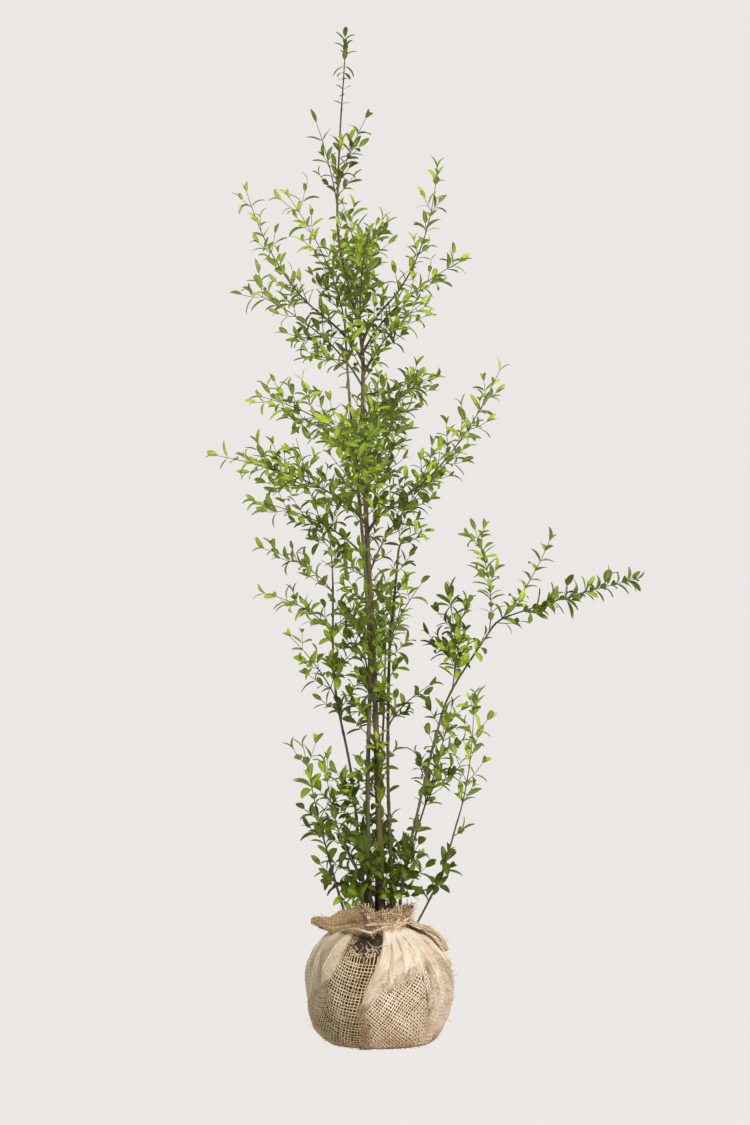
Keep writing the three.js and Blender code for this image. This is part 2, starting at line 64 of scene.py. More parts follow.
# %% [markdown]
# ## Measures
# All measures are in millimetres, in the frame of the solids: the origin is at the centre of the ball's
# flat underside, X runs to the viewer's right and Z up. The stems are drawn again along the lines of
# the solids, and a little slimmer, as the real ones are.

# %% Measures that several pieces share
BALL_TOP = 232  # where the cloth is tied
UNDERSIDE = 98  # radius of the flat that the ball stands on
NECK = 44  # radius of the bare soil inside the tie
COLLAR = {"x": 8, "inner": 44, "outer": 54, "top": 272}
TAU = 2 * math.pi
QUARTER = math.pi / 2

# %% [markdown]
# ## Lines through space
# Stems, twigs and threads all follow a line. A smooth curve through a few places would do as a Blender
# curve object, but we need to ask it for places and directions while things grow on it. So a line is
# kept as a row of close points, with its direction at each.


# %% A line that can be read at any share of its length
def unit(v):
    return v / np.linalg.norm(v, axis=-1, keepdims=True)


class Line:
    """A row of points, read at any share t from 0 to 1."""

    def __init__(self, points):
        self.points = np.asarray(points, float)
        self.ways = unit(np.gradient(self.points, axis=0))
        self.length = float(np.linalg.norm(np.diff(self.points, axis=0), axis=1).sum())
        chord = self.points[-1] - self.points[0]
        level = abs(chord[1]) < 0.8 * np.linalg.norm(chord)
        self.fixed = np.array([0.0, 1.0, 0.0] if level else [1.0, 0.0, 0.0])

    def read(self, rows, t):
        whole = min(max(t, 0.0), 1.0) * (len(rows) - 1)
        first = min(int(whole), len(rows) - 2)
        return rows[first] + (whole - first) * (rows[first + 1] - rows[first])

    def spot(self, t):
        return self.read(self.points, t)

    def way(self, t):
        return unit(self.read(self.ways, t))

    def around(self, t, roll):
        """The direction square to the line at an angle round it."""
        way = self.way(t)
        side = unit(np.cross(self.fixed, way))
        return side * math.cos(roll) + np.cross(way, side) * math.sin(roll)

    def outward(self, t, roll, angle):
        """The direction that leaves the line at an angle to it, on the side that roll gives."""
        return self.way(t) * math.cos(angle) + self.around(t, roll) * math.sin(angle)


# %% Smooth lines through given places, and a simple bend
def smooth_line(places, count):
    p = np.array(places, float)
    p = np.vstack([2 * p[0] - p[1], p, 2 * p[-1] - p[-2]])
    spans = len(p) - 3
    t = np.linspace(0, spans, count + 1)
    i = np.minimum(t.astype(int), spans - 1)
    f = (t - i)[:, None]
    a, b, c, d = p[i], p[i + 1], p[i + 2], p[i + 3]
    cubic = (3 * b - a - 3 * c + d) * f**3
    return Line(0.5 * (2 * b + (c - a) * f + (2 * a - 5 * b + 4 * c - d) * f**2 + cubic))


def bend_line(start, bend, tip, count):
    t = np.linspace(0, 1, count + 1)[:, None]
    return Line((1 - t) ** 2 * start + 2 * t * (1 - t) * bend + t**2 * tip)


# %% [markdown]
# ## Many small tubes in one mesh
# Twigs and threads run into the thousands. As separate objects they would choke the file, so their
# points are worked out in arrays and joined into one mesh for each kind. Each is a closed tube: rings of
# points square to its line, with its two ends capped.


# %% What every finished piece needs
def smooth_mesh(bm, name):
    """The mesh of what bm holds, shaded smooth."""
    mesh = bpy.data.meshes.new(name)
    bm.to_mesh(mesh)
    bm.free()
    mesh.polygons.foreach_set("use_smooth", np.full(len(mesh.polygons), True))
    return mesh


def keep_piece(name, mesh):
    """Links a finished piece, and lets it ride on the plant's one body."""
    piece = bpy.data.objects.new(name, mesh)
    bpy.context.scene.collection.objects.link(piece)
    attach(piece, "root")
    print(name, sum(len(p.vertices) - 2 for p in mesh.polygons), "triangles")
    return piece


# %% Tubes gathered into one mesh
STOUT = 1.25  # the half-width from which a tube has five sides and not four


class Gathered:
    """Collects closed shapes and makes one object of them."""

    def __init__(self):
        self.points = []
        self.faces = []
        self.marks = []
        self.count = 0

    def add(self, points, faces, mark=0):
        self.points.append(points)
        self.faces.extend([[self.count + i for i in face] for face in faces])
        self.marks.extend([mark] * len(faces))
        self.count += len(points)

    def tube(self, line, across, up, mark=0):
        """Rings round the rows of line: across and up are the two half-widths as vectors, row by row."""
        sides = 5 if np.linalg.norm(across, axis=1).max() > STOUT else 4
        turn = np.arange(sides) * TAU / sides
        rings = line[:, None] + across[:, None] * np.cos(turn)[None, :, None]
        rings = rings + up[:, None] * np.sin(turn)[None, :, None]
        rows = len(line)
        k = np.arange(sides)
        j = np.arange(rows - 1)[:, None] * sides
        quads = np.stack([j + k, j + (k + 1) % sides, j + sides + (k + 1) % sides, j + sides + k], -1)
        faces = quads.reshape(-1, 4).tolist()
        faces.append(list(range(sides - 1, -1, -1)))
        faces.append(list(range((rows - 1) * sides, rows * sides)))
        self.add(rings.reshape(-1, 3), faces, mark)

    def make(self, name, finishes):
        mesh = bpy.data.meshes.new(name)
        mesh.from_pydata((np.concatenate(self.points) * MM).tolist(), [], self.faces)
        for finish in finishes:
            mesh.materials.append(finish)
        mesh.polygons.foreach_set("material_index", np.array(self.marks, np.int32))
        mesh.polygons.foreach_set("use_smooth", np.full(len(self.faces), True))
        mesh.update()
        return keep_piece(name, mesh)


# %% A round tube along a line
def frames_along(line, rows):
    """Even shares of a line, with its places there and two directions square to it."""
    t = np.linspace(0, 1, rows)
    spots = np.array([line.spot(s) for s in t])
    side = np.array([line.around(s, 0.0) for s in t])
    return t, spots, side, np.cross(np.array([line.way(s) for s in t]), side)


def round_tube(gathered, line, foot, tip, rows, mark=0):
    """foot and tip are the radius at the two ends."""
    t, spots, side, up = frames_along(line, rows)
    size = (foot + (tip - foot) * t)[:, None]
    gathered.tube(spots, side * size, up * size, mark)


# %% [markdown]
# ## Finishes
# Every finish is a small network of nodes that reads Object coordinates, so its pattern stays where it
# is on the piece. Colours are given as they look on screen, from 0 to 255, and turned into the linear
# values that the shader wants.


# %% Helpers for finishes
def paint(red, green, blue):
    def linear(value):
        share = value / 255
        return share / 12.92 if share <= 0.04045 else ((share + 0.055) / 1.055) ** 2.4
    return (linear(red), linear(green), linear(blue), 1.0)


def new_finish(name, roughness):
    finish = bpy.data.materials.new(name)
    finish.use_nodes = True
    tree = finish.node_tree
    shader = tree.nodes["Principled BSDF"]
    shader.inputs["Roughness"].default_value = roughness
    place = tree.nodes.new("ShaderNodeTexCoord").outputs["Object"]
    return finish, tree, shader, place


def clouds(tree, place, scale, detail=4.0, stretch=(1, 1, 1)):
    mapping = tree.nodes.new("ShaderNodeMapping")
    mapping.inputs["Scale"].default_value = stretch
    tree.links.new(place, mapping.inputs["Vector"])
    texture = tree.nodes.new("ShaderNodeTexNoise")
    texture.inputs["Scale"].default_value = scale
    texture.inputs["Detail"].default_value = detail
    tree.links.new(mapping.outputs["Vector"], texture.inputs["Vector"])
    return texture.outputs["Fac"]


def on_map(tree, name):
    """The two measures of a piece's own UV map, as outputs X and Y."""
    uv = tree.nodes.new("ShaderNodeUVMap")
    uv.uv_map = name
    parts = tree.nodes.new("ShaderNodeSeparateXYZ")
    tree.links.new(uv.outputs["UV"], parts.inputs["Vector"])
    return parts


def between(tree, value, low, high):
    """value from low to high, spread to 0 to 1."""
    node = tree.nodes.new("ShaderNodeMapRange")
    node.inputs["From Min"].default_value = low
    node.inputs["From Max"].default_value = high
    tree.links.new(value, node.inputs["Value"])
    return node.outputs["Result"]


def mixed(tree, share, first, second):
    """first where share is 0 and second where it is 1; each is a colour or a node's output."""
    node = tree.nodes.new("ShaderNodeMix")
    node.data_type = "RGBA"
    tree.links.new(share, node.inputs["Factor"])
    for value, socket in ((first, node.inputs["A"]), (second, node.inputs["B"])):
        if isinstance(value, tuple):
            socket.default_value = value
        else:
            tree.links.new(value, socket)
    return node.outputs["Result"]


def bumped(tree, shader, height, distance, strength=1.0):
    node = tree.nodes.new("ShaderNodeBump")
    node.inputs["Distance"].default_value = distance * MM
    node.inputs["Strength"].default_value = strength
    tree.links.new(height, node.inputs["Height"])
    tree.links.new(node.outputs["Normal"], shader.inputs["Normal"])


# %% [markdown]
# ## The stems
# Privet sends up several slim stems from one root. The bark is smooth and grey-brown, olive on the
# younger stems, with a swollen ring at each old pair of buds and small raised pores. A tube from a
# curve object would give a plain pipe. Here a flat grid is rolled into a tube round each stem's line, so
# that every point can be lifted by the relief of the bark.

# %% Where each stem stands and leans
STEMS = {
    "leader": dict(
        foot=[4, 2], tip=[-69, 0, 1896], radius=[6.4, 1.1], flare=3,
        via=[[-4, 4, 480], [-12, 6, 740], [-24, 2, 960], [-33, -4, 1180], [-35, -2, 1350],
             [-62, 0, 1470], [-82, 2, 1580], [-78, 4, 1750]]),
    "second_stem": dict(
        foot=[-20, -8], tip=[-67, -20, 1372], radius=[4.8, 1.8], flare=2,
        via=[[-24, -14, 480], [-20, -20, 740], [-34, -26, 980], [-58, -26, 1235]]),
    "right_upright_stem": dict(
        foot=[27, 14], tip=[36, 18, 954], radius=[3.4, 2.2], flare=1,
        via=[[16, 24, 490], [18, 28, 740], [27, 24, 850]]),
    "left_upright_stem": dict(
        foot=[-22, 14], tip=[-92, 24, 890], radius=[3, 1.8], flare=1,
        via=[[-38, 16, 358], [-56, 22, 520], [-88, 26, 695]]),
    "arching_stem": dict(
        foot=[38, -12], tip=[216, -44, 805], radius=[2.9, 1.8], flare=1,
        via=[[43, -16, 311], [76, -26, 463], [110, -34, 604], [139, -38, 685]]),
    "far_right_stem": dict(
        foot=[60, 16, 205], tip=[152, 28, 430], radius=[2.2, 1.6], flare=0, via=[[118, 24, 320]]),
    "mid_right_stem": dict(
        foot=[16, 24], tip=[78, 50, 424], radius=[2.8, 2], flare=0, via=[[26, 30, 285], [56, 42, 358]]),
    "left_low_stem": dict(
        foot=[-54, 8, 205], tip=[-98, 0, 352], radius=[2.6, 2], flare=0, via=[[-78, 4, 280]]),
    "left_front_stem": dict(
        foot=[-10, -20], tip=[-58, -46, 362], radius=[2.7, 2], flare=0, via=[[-18, -24, 285]]),
    "back_stem": dict(
        foot=[-8, 24], tip=[10, 116, 720], radius=[3.4, 1.8], flare=0.5,
        via=[[-7, 29, 285], [-4, 62, 430], [6, 96, 600]]),
}
BOUGHS = {
    "upper_left_bough": dict(on="leader", at=1318, tip=[-112, -10, 1408], radius=[3, 2]),
    "upper_right_bough": dict(on="leader", at=1352, tip=[14, -10, 1430], radius=[3, 2]),
    "mid_right_bough": dict(on="leader", at=984, tip=[40, -12, 1052], radius=[3.6, 2.2]),
    "mid_left_bough": dict(on="leader", at=1000, tip=[-92, -8, 1062], radius=[3.2, 2.1]),
    "right_arm": dict(on="arching_stem", at="tip", tip=[250, -46, 828], radius=[1.9, 1.6]),
}


# %% The lines of stems and boughs
def share_at_height(line, height):
    """The share of a line's points where it passes a height."""
    z = line.points[:, 2]
    return float(np.interp(height, z, np.linspace(0, 1, len(z))))


def branch_line(parent, at, tip, count=60):
    """A shoot's line: it leaves its limb partly along it, and bends out to its own tip."""
    t = 1.0 if at == "tip" else share_at_height(parent["line"], at)
    start, along = parent["line"].spot(t), parent["line"].way(t)
    tip = np.array(tip, float)
    reach = np.linalg.norm(tip - start)
    share = 1.0 if at == "tip" else 0.45
    first = unit(unit(tip - start) * (1 - share) + along * share)
    return bend_line(start, start + first * 0.42 * reach, tip, count)


limbs = {}
for name, stem in STEMS.items():
    x, y, z = (stem["foot"] + [BALL_TOP - 6])[:3]
    limbs[name] = dict(stem, line=smooth_line([[x, y, z], *stem["via"], stem["tip"]], 240))
for name, bough in BOUGHS.items():
    limbs[name] = dict(bough, flare=0, line=branch_line(limbs[bough["on"]], bough["at"], bough["tip"]))


FLARE_LENGTH = 30


def radius_at(limb, t):
    foot = limb["flare"] * np.exp(-t * limb["line"].length / FLARE_LENGTH)
    return limb["radius"][0] + (limb["radius"][1] - limb["radius"][0]) * t + foot


print("leader", round(limbs["leader"]["line"].length), "mm long")

# %% The relief of privet bark: bud rings, pores and long shallow ridges
BUD_RING_STEP = 41
RING_WIDTH = 4.5
SCAR_WIDTH = 3.2
SWELLING = 0.07  # of a ring, as a share of the stem's radius
RIDGE = 0.035  # the same of the long ridges
PORE_STEP = 2.6
PORE_FLATNESS = 0.62
PORE_LIMIT = 0.28
PORE_HEIGHT = 1.1


def bark_relief(limb, t, turn):
    """How far the bark stands out, in mm, at a share of the length and an angle round it."""
    radius = radius_at(limb, t)
    along = t * limb["line"].length
    ring = along / BUD_RING_STEP + 0.13 * np.sin(along / 67)
    near = np.abs(ring - np.round(ring)) * BUD_RING_STEP
    swollen = SWELLING * radius * np.exp(-((near / RING_WIDTH) ** 2))
    scar_turn = np.round(ring) * QUARTER
    scar = np.exp(-((near / SCAR_WIDTH) ** 2)) * np.maximum(0, np.cos(2 * (turn - scar_turn))) ** 6
    knob = min(0.35, 0.12 * radius) + SWELLING * radius
    ridges = RIDGE * radius * np.sin(5 * turn + 0.02 * along + 1.3 * np.sin(along / 31))
    return swollen + knob * scar + ridges


def pores(spot):
    """Small pale raised pores, longer across the stem than along it."""
    place = Vector((spot[0] / PORE_STEP, spot[1] / PORE_STEP, spot[2] / (PORE_FLATNESS * PORE_STEP)))
    return PORE_HEIGHT * max(0.0, noise.noise(place) - PORE_LIMIT)


# %% Bark colours: grey-brown on the old stems, olive on the young ones
def bark_finish(name, dark, pale, green):
    finish, tree, shader, place = new_finish(name, 0.82)
    streaks = between(tree, clouds(tree, place, 26, 5, (1, 1, 0.35)), 0.35, 0.68)
    algae = between(tree, clouds(tree, place, 9, 3), 0.5, 0.72)
    spots = between(tree, clouds(tree, place, 340, 2, (1, 1, 1.7)), 0.62, 0.74)
    base = mixed(tree, streaks, dark, pale)
    base = mixed(tree, algae, base, green)
    base = mixed(tree, spots, base, paint(168, 148, 116))
    tree.links.new(base, shader.inputs["Base Color"])
    bumped(tree, shader, clouds(tree, place, 520, 6, (1, 1, 0.3)), 0.7, 0.7)
    return finish


OLD_BARK = bark_finish("old_bark", paint(44, 36, 23), paint(120, 98, 61), paint(88, 86, 42))
YOUNG_BARK = bark_finish("young_bark", paint(58, 52, 34), paint(100, 90, 60), paint(80, 86, 40))
SHOOT_BARK = bark_finish("shoot_bark", paint(80, 88, 34), paint(108, 100, 54), paint(92, 112, 36))


# %% Roll a grid into a tube round a limb, and lift its points by the relief
OLD_RADIUS = 6
OLD_GRID = 18, 3.5  # faces round the tube, and the step of its rows
YOUNG_GRID = 12, 4.5


def bark_tube(name, limb):
    line = limb["line"]
    old = limb["radius"][0] > OLD_RADIUS
    sides, step = OLD_GRID if old else YOUNG_GRID
    rows = max(8, round(line.length / step))
    bm = bmesh.new()
    bmesh.ops.create_grid(bm, x_segments=sides, y_segments=rows, size=1)
    frames = {}
    for vert in bm.verts:
        t = (vert.co.y + 1) / 2
        turn = (vert.co.x + 1) * math.pi
        key = round(t * rows)
        if key not in frames:
            side = line.around(t, 0.0)
            frames[key] = line.spot(t), side, np.cross(line.way(t), side)
        spot, side, up = frames[key]
        out = side * math.cos(turn) + up * math.sin(turn)
        radius = radius_at(limb, t) + bark_relief(limb, t, turn)
        radius += pores(spot + out * radius)
        vert.co = Vector((spot + out * radius) * MM)
    bmesh.ops.remove_doubles(bm, verts=bm.verts, dist=1e-6)
    bmesh.ops.holes_fill(bm, edges=bm.edges, sides=0)
    bmesh.ops.recalc_face_normals(bm, faces=bm.faces)
    mesh = smooth_mesh(bm, name + "_bark")
    mesh.materials.append(OLD_BARK if old else YOUNG_BARK)
    piece = keep_piece(name + "_bark", mesh)
    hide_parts(name)


for name, limb in limbs.items():
    bark_tube(name, limb)

# %% [markdown]
# ## The foliage
# Each mass of the solids is one shoot with its side shoots. Here the same rule grows it again, finer:
# pairs of side shoots up the main shoot, each pair turned a quarter from the last, short twiglets on
# those, and leaves in opposite pairs. A shoot or leaf that would leave its mass's space, or touch a
# limb, isn't grown. A particle system would be quicker to set up, but it scatters leaves with no regard
# to twigs. Growing them keeps each leaf on its twig, which the eye notices at once.

# %% The masses: what each grows on, its furthest leaf and how far its shoots spread
MASSES = {
    "tip_spray": ("leader", "tip", [-68, 0, 1969], 34),
    "leader_left_spray": ("leader", 1620, [-130, -24, 1800], 60),
    "leader_right_spray": ("leader", 1650, [-18, 18, 1812], 50),
    "crown_left_spray": ("second_stem", "tip", [-186, -50, 1648], 75),
    "upper_left_spray": ("upper_left_bough", "tip", [-264, -16, 1668], 60),
    "left_shoulder_spray": ("leader", 1268, [-270, 66, 1470], 75),
    "crown_right_spray": ("leader", 1420, [24, 66, 1610], 70),
    "upper_right_spray": ("upper_right_bough", "tip", [112, -20, 1712], 55),
    "right_shoulder_spray": ("leader", 1335, [178, 30, 1528], 75),
    "upper_back_spray": ("leader", 1380, [-40, 216, 1600], 90),
    "crown_front_spray": ("leader", 1372, [-20, -196, 1560], 90),
    "right_tuft": ("leader", 1290, [92, -64, 1436], 58),
    "mid_right_spray": ("mid_right_bough", "tip", [240, -30, 1322], 80),
    "mid_right_upper_spray": ("leader", 1170, [112, 60, 1300], 75),
    "mid_left_arm_spray": ("mid_left_bough", "tip", [-335, -14, 1140], 62),
    "mid_left_upper_spray": ("leader", 1130, [-250, 40, 1258], 80),
    "mid_left_lower_spray": ("leader", 930, [-262, -40, 1052], 72),
    "left_column_spray": ("left_upright_stem", "tip", [-118, 10, 1120], 66),
    "left_middle_arm_spray": ("left_upright_stem", 870, [-246, 30, 962], 50),
    "left_thin_arm_spray": ("left_upright_stem", 790, [-241, -10, 874], 34),
    "mid_back_spray": ("leader", 1030, [0, 262, 1240], 100),
    "mid_front_spray": ("second_stem", 985, [-50, -240, 1210], 100),
    "stub_spray": ("right_upright_stem", "tip", [106, 6, 992], 40),
    "mid_right_lower_spray": ("leader", 905, [100, 70, 1090], 62),
    "centre_right_spray": ("right_upright_stem", 780, [94, 40, 905], 60),
    "centre_left_spray": ("second_stem", 690, [-64, -92, 870], 80),
    "centre_back_spray": ("back_stem", "tip", [0, 196, 900], 100),
    "left_lower_spray": ("left_upright_stem", 660, [-188, -10, 800], 70),
    "right_twig_spray": ("right_upright_stem", 610, [114, 30, 700], 45),
    "fork_spray": ("arching_stem", 684, [130, -44, 876], 85),
    "upright_spray": ("arching_stem", 795, [176, -20, 1012], 50),
    "outer_upright_spray": ("right_arm", 820, [334, -36, 990], 42),
    "arm_spray": ("right_arm", "tip", [516, -58, 905], 46),
    "far_right_spray": ("far_right_stem", "tip", [182, 6, 692], 60),
    "mid_right_low_spray": ("mid_right_stem", "tip", [146, 76, 668], 60),
    "left_low_spray": ("left_low_stem", "tip", [-152, -10, 592], 70),
    "left_front_spray": ("left_front_stem", "tip", [-106, -86, 566], 66),
    "base_left_spray": ("left_upright_stem", 300, [-96, 66, 420], 70),
    "base_right_spray": ("arching_stem", 300, [74, -84, 410], 60),
    "base_front_spray": ("second_stem", 284, [-14, -106, 400], 70),
    "base_back_spray": ("back_stem", 300, [20, 140, 430], 70),
}
TWIG = 2.4  # the thickest radius of a shoot's foot
TWIG_TIP = 0.55
TAPER = 0.62  # a side shoot's radius, as a share of its parent's
BARE = 0.1  # the share of a shoot's length before its first side shoot
LEAF_LENGTH = 39
LEAF_STEP = 25
TIP_LEAF = 0.52  # the share of a leaf that reaches past the end of its shoot

masses = {}
for name, (on, at, tip, spread) in MASSES.items():
    parent = limbs[on]
    full = branch_line(parent, at, tip)
    end = np.array(tip) - TIP_LEAF * LEAF_LENGTH * full.way(1)
    t = 1.0 if at == "tip" else share_at_height(parent["line"], at)
    foot = min(TWIG, (1.0 if at == "tip" else 0.72) * radius_at(parent, t))
    masses[name] = dict(line=branch_line(parent, at, end), spread=spread, foot=foot)
names = list(masses)
stem_rows = np.array([[masses[n]["line"].spot(i / 8) for i in range(9)] for n in names])
print("masses", len(masses))


# %% Room: what has grown is kept as small spheres, so that nothing new touches it
CELL = 26.0
NEIGHBOUR = 0.8  # the share of the distance that counts against another mass
cells = {}


def cell_of(p):
    return tuple(np.floor(p / CELL).astype(int))


def occupy(spots, radius, owner):
    for p in spots:
        cells.setdefault(cell_of(p), []).append((p, radius, owner))


def is_clear(spots, radius, owner, own):
    """own is the share of the distance that counts against the same mass."""
    for p in spots:
        x, y, z = cell_of(p)
        for i in range(27):
            key = (x - 1 + i % 3, y - 1 + i // 3 % 3, z - 1 + i // 9)
            for other, size, whose in cells.get(key, ()):
                share = own if whose == owner else 1.0 if whose == "limb" else NEIGHBOUR
                gap = p - other
                if gap @ gap < (share * (radius + size)) ** 2:
                    return False
    return True


MINGLING = 14  # how far a mass may reach past the middle between its stem and the next


def in_own_space(number, spots):
    """Nearer to the mass's own stem than to any other, within its spread."""
    shaded_gaps = np.linalg.norm(stem_rows[:, :, None] - spots[None, None], axis=-1).min(axis=1)
    own = shaded_gaps[number]
    others = np.delete(shaded_gaps, number, axis=0).min(axis=0)
    spread = masses[names[number]]["spread"]
    return bool(np.all(own < spread + 0.5 * LEAF_LENGTH) and np.all(own < others + MINGLING))


def clear_of_wrapping(spots):
    """Outside the collar, inside its throat or above it, and never down on the ball."""
    away = np.hypot(spots[:, 0] - COLLAR["x"], spots[:, 1])
    free = (away > COLLAR["outer"] + 10) | (away < COLLAR["inner"] - 6) | (spots[:, 2] > COLLAR["top"] + 1)
    return bool(np.all(free) and np.all(spots[:, 2] > BALL_TOP + 10))


BOX_MARGIN = np.array([1, 2, 1])


def within_reach(spots):
    """Inside the box of the solids."""
    low, high = np.array(CAD_BOX) / MM
    return bool(np.all(spots > low + BOX_MARGIN) and np.all(spots < high - BOX_MARGIN))


LIMB_STEP = 4
LIMB_CLEARANCE = 0.8
for limb in limbs.values():
    line = limb["line"]
    for t in np.linspace(0, 1, math.ceil(line.length / LIMB_STEP)):
        occupy([line.spot(t)], float(radius_at(limb, t)) + LIMB_CLEARANCE, "limb")
print("cells in use", len(cells))

# %% [markdown]
# ## Growing a mass
# The tones of the leaves are dealt out by spray: the young shoots at the outside are yellow-green, those
# deep inside and low down are darker, partly as older leaves and partly as painted shade. A whole side
# shoot takes one tone, as it does on the plant.

# %% Leaves are noted as they grow, and made all at once afterwards
leaves = {key: [] for key in ("root", "way", "up", "length", "bend", "fold", "twist", "slim", "tone")}
twigs = Gathered()
LOOSE = -1  # stands for the number of a mass on the short shoots, which belong to none
BROAD = 0.17, 0.23  # a leaf's half-width for its length, low down
SLENDER = 0.13, 0.18  # the same in the crown
SLENDER_FROM = 600
SLENDER_OVER = 500
BROAD_SPRAYS = "tip_spray", "arm_spray"
LEAF_ROOM = 0.11  # the radius round a leaf, for its length, that no other may enter


def note_leaf(number, line, t, roll, angle, length, tone, rng):
    """Notes a leaf if there is room for it, and tells whether there was."""
    root = line.spot(t)
    slender = number == LOOSE or names[number] not in BROAD_SPRAYS
    high = min(1.0, max(0.0, (root[2] - SLENDER_FROM) / SLENDER_OVER)) if slender else 0.0
    way = line.outward(t, roll, angle)
    up = line.outward(t, roll, angle - QUARTER) + np.array([0, 0, 0.45 + 0.4 * high])
    up = unit(up - way * (up @ way))
    bend = rng.uniform(0.2, 1.1)
    droop = np.array([0.06, 0.02, -0.28 * bend])
    spots = np.array([root + way * length * s + up * length * d * 0.5
                      for s, d in zip((0.35, 0.62, 0.96), droop)])
    own = number == LOOSE or in_own_space(number, spots)
    if not own or not clear_of_wrapping(spots) or not within_reach(spots):
        return False
    if not is_clear(spots, LEAF_ROOM * length, number, 0.5):
        return False
    occupy(spots, LEAF_ROOM * length, number)
    slim = rng.uniform(*BROAD) * (1 - high) + rng.uniform(*SLENDER) * high
    values = (root, way, up, length, bend, rng.uniform(0.15, 0.5), rng.uniform(-0.5, 0.5), slim, tone)
    for key, value in zip(leaves, values):
        leaves[key].append(value)
    return True


# %% Pairs of leaves along a shoot
OPEN = 0.95, 1.0  # a leaf's angle to its shoot, and its size
YOUNG = 0.62, 0.72  # the same on the young top of the plant
LAST = 0.38, 0.82  # the same for the last pair of every shoot


def dress(number, line, start, first_roll, tone, rng, step=LEAF_STEP):
    """Each pair is turned a quarter from the last. Tells how many leaves found room."""
    pairs = max(1, round(line.length * (1 - start) / step))
    usual = YOUNG if number != LOOSE and names[number] == "tip_spray" else OPEN
    made = 0
    for k in range(pairs + 1):
        spread, size = LAST if k == pairs else usual
        t = min(0.99, start + (1 - start) * (k + 0.4) / (pairs + 0.4))
        roll = first_roll + QUARTER * k + rng.uniform(-0.25, 0.25)
        for half in (0, math.pi):
            angle = spread + rng.uniform(-0.22, 0.22)
            length = LEAF_LENGTH * rng.uniform(0.64, 1.03) * size
            made += note_leaf(number, line, t, roll + half, angle, length, tone, rng)
    return made


# %% A side shoot, and the twiglets on it
SHORTEST = 18
TWIGLETS_FROM = 55  # the reach from which a side shoot carries twiglets
TWIGLET_STEP = 48
RISE = 0.22  # how far a shoot turns up, as a share of its reach


def rising_line(start, out, reach, rise, count):
    """A shoot that leaves its parent one way and turns upward."""
    tip = start + out * reach + np.array([0, 0, rise])
    return bend_line(start, start + out * 0.5 * reach, tip, count)


def side_shoot(number, parent, t, roll, reach, foot, tone, rng, level):
    out = parent.outward(t, roll, rng.uniform(0.6, 0.95))
    line = rising_line(parent.spot(t), out, reach, RISE * reach, 12)
    room = np.array([line.spot(s) for s in np.linspace(0.3, 1, max(3, int(reach / 7)))])
    if reach < SHORTEST or not in_own_space(number, room) or not clear_of_wrapping(room):
        return
    if not within_reach(room) or not is_clear(room, foot + 0.4, number, 0.7):
        return
    occupy(room, foot, number)
    round_tube(twigs, line, foot, TWIG_TIP, max(4, int(reach / 11)), min(level, 1))
    first_roll = rng.uniform(0, TAU)
    if level == 1 and reach > TWIGLETS_FROM:
        pairs = max(1, round(reach / TWIGLET_STEP))
        for k in range(pairs):
            place = 0.28 + 0.5 * (k + rng.uniform(0, 0.5)) / pairs
            for half in (0, math.pi):
                side_shoot(number, line, place, first_roll + QUARTER * (k + 1) + half,
                           reach * rng.uniform(0.3, 0.5), 0.7 * foot, tone, rng, 2)
    dress(number, line, 0.22 if level == 1 else 0.3, first_roll, tone, rng)


# %% The tone of a spray, from 0, yellow-green, to 4, dark
TONES = 5
TONE_SHIFT = {  # sprays and stems that carry old leaves and stand in shade: darker, partly as painted shade
    "arm_spray": 2.0, "arching_stem": 1.5, "right_arm": 2.2, "fork_spray": 2.7, "upright_spray": 0.6,
    "outer_upright_spray": 0.5, "base_front_spray": 1.5, "base_right_spray": 1.2, "base_left_spray": 0.6,
    "base_back_spray": 1.0, "far_right_stem": 2.4, "tip_spray": 2.4, "leader_left_spray": 1.4,
    "leader_right_spray": 1.4, "mid_right_low_spray": 0.8, "centre_left_spray": 0.6,
    "right_twig_spray": 0.6, "left_front_spray": 0.5, "mid_right_spray": 0.8, "crown_front_spray": 0.5,
}
HEAD = {"x": -30, "radius": 190, "foot": 250, "tall": 1400}  # the plant's head, from its middle line out
SHADY_BELOW = 400
SHADY_SHIFT = 0.45


def tone_of(name, spot, rng):
    # Older leaves and painted shade: deep inside the head and low down, the tone is darker.
    inward = 1 - min(1.0, math.hypot(spot[0] - HEAD["x"], spot[1] * 0.25) / HEAD["radius"])
    low = 1 - min(1.0, max(0.0, (spot[2] - HEAD["foot"]) / HEAD["tall"]))
    depth = 0.5 * inward + 0.3 * low + rng.uniform(-0.26, 0.3)
    shift = TONE_SHIFT.get(name, 0) + (SHADY_SHIFT if spot[2] < SHADY_BELOW else 0)
    return int(np.clip(depth * TONES + shift, 0, TONES - 1))


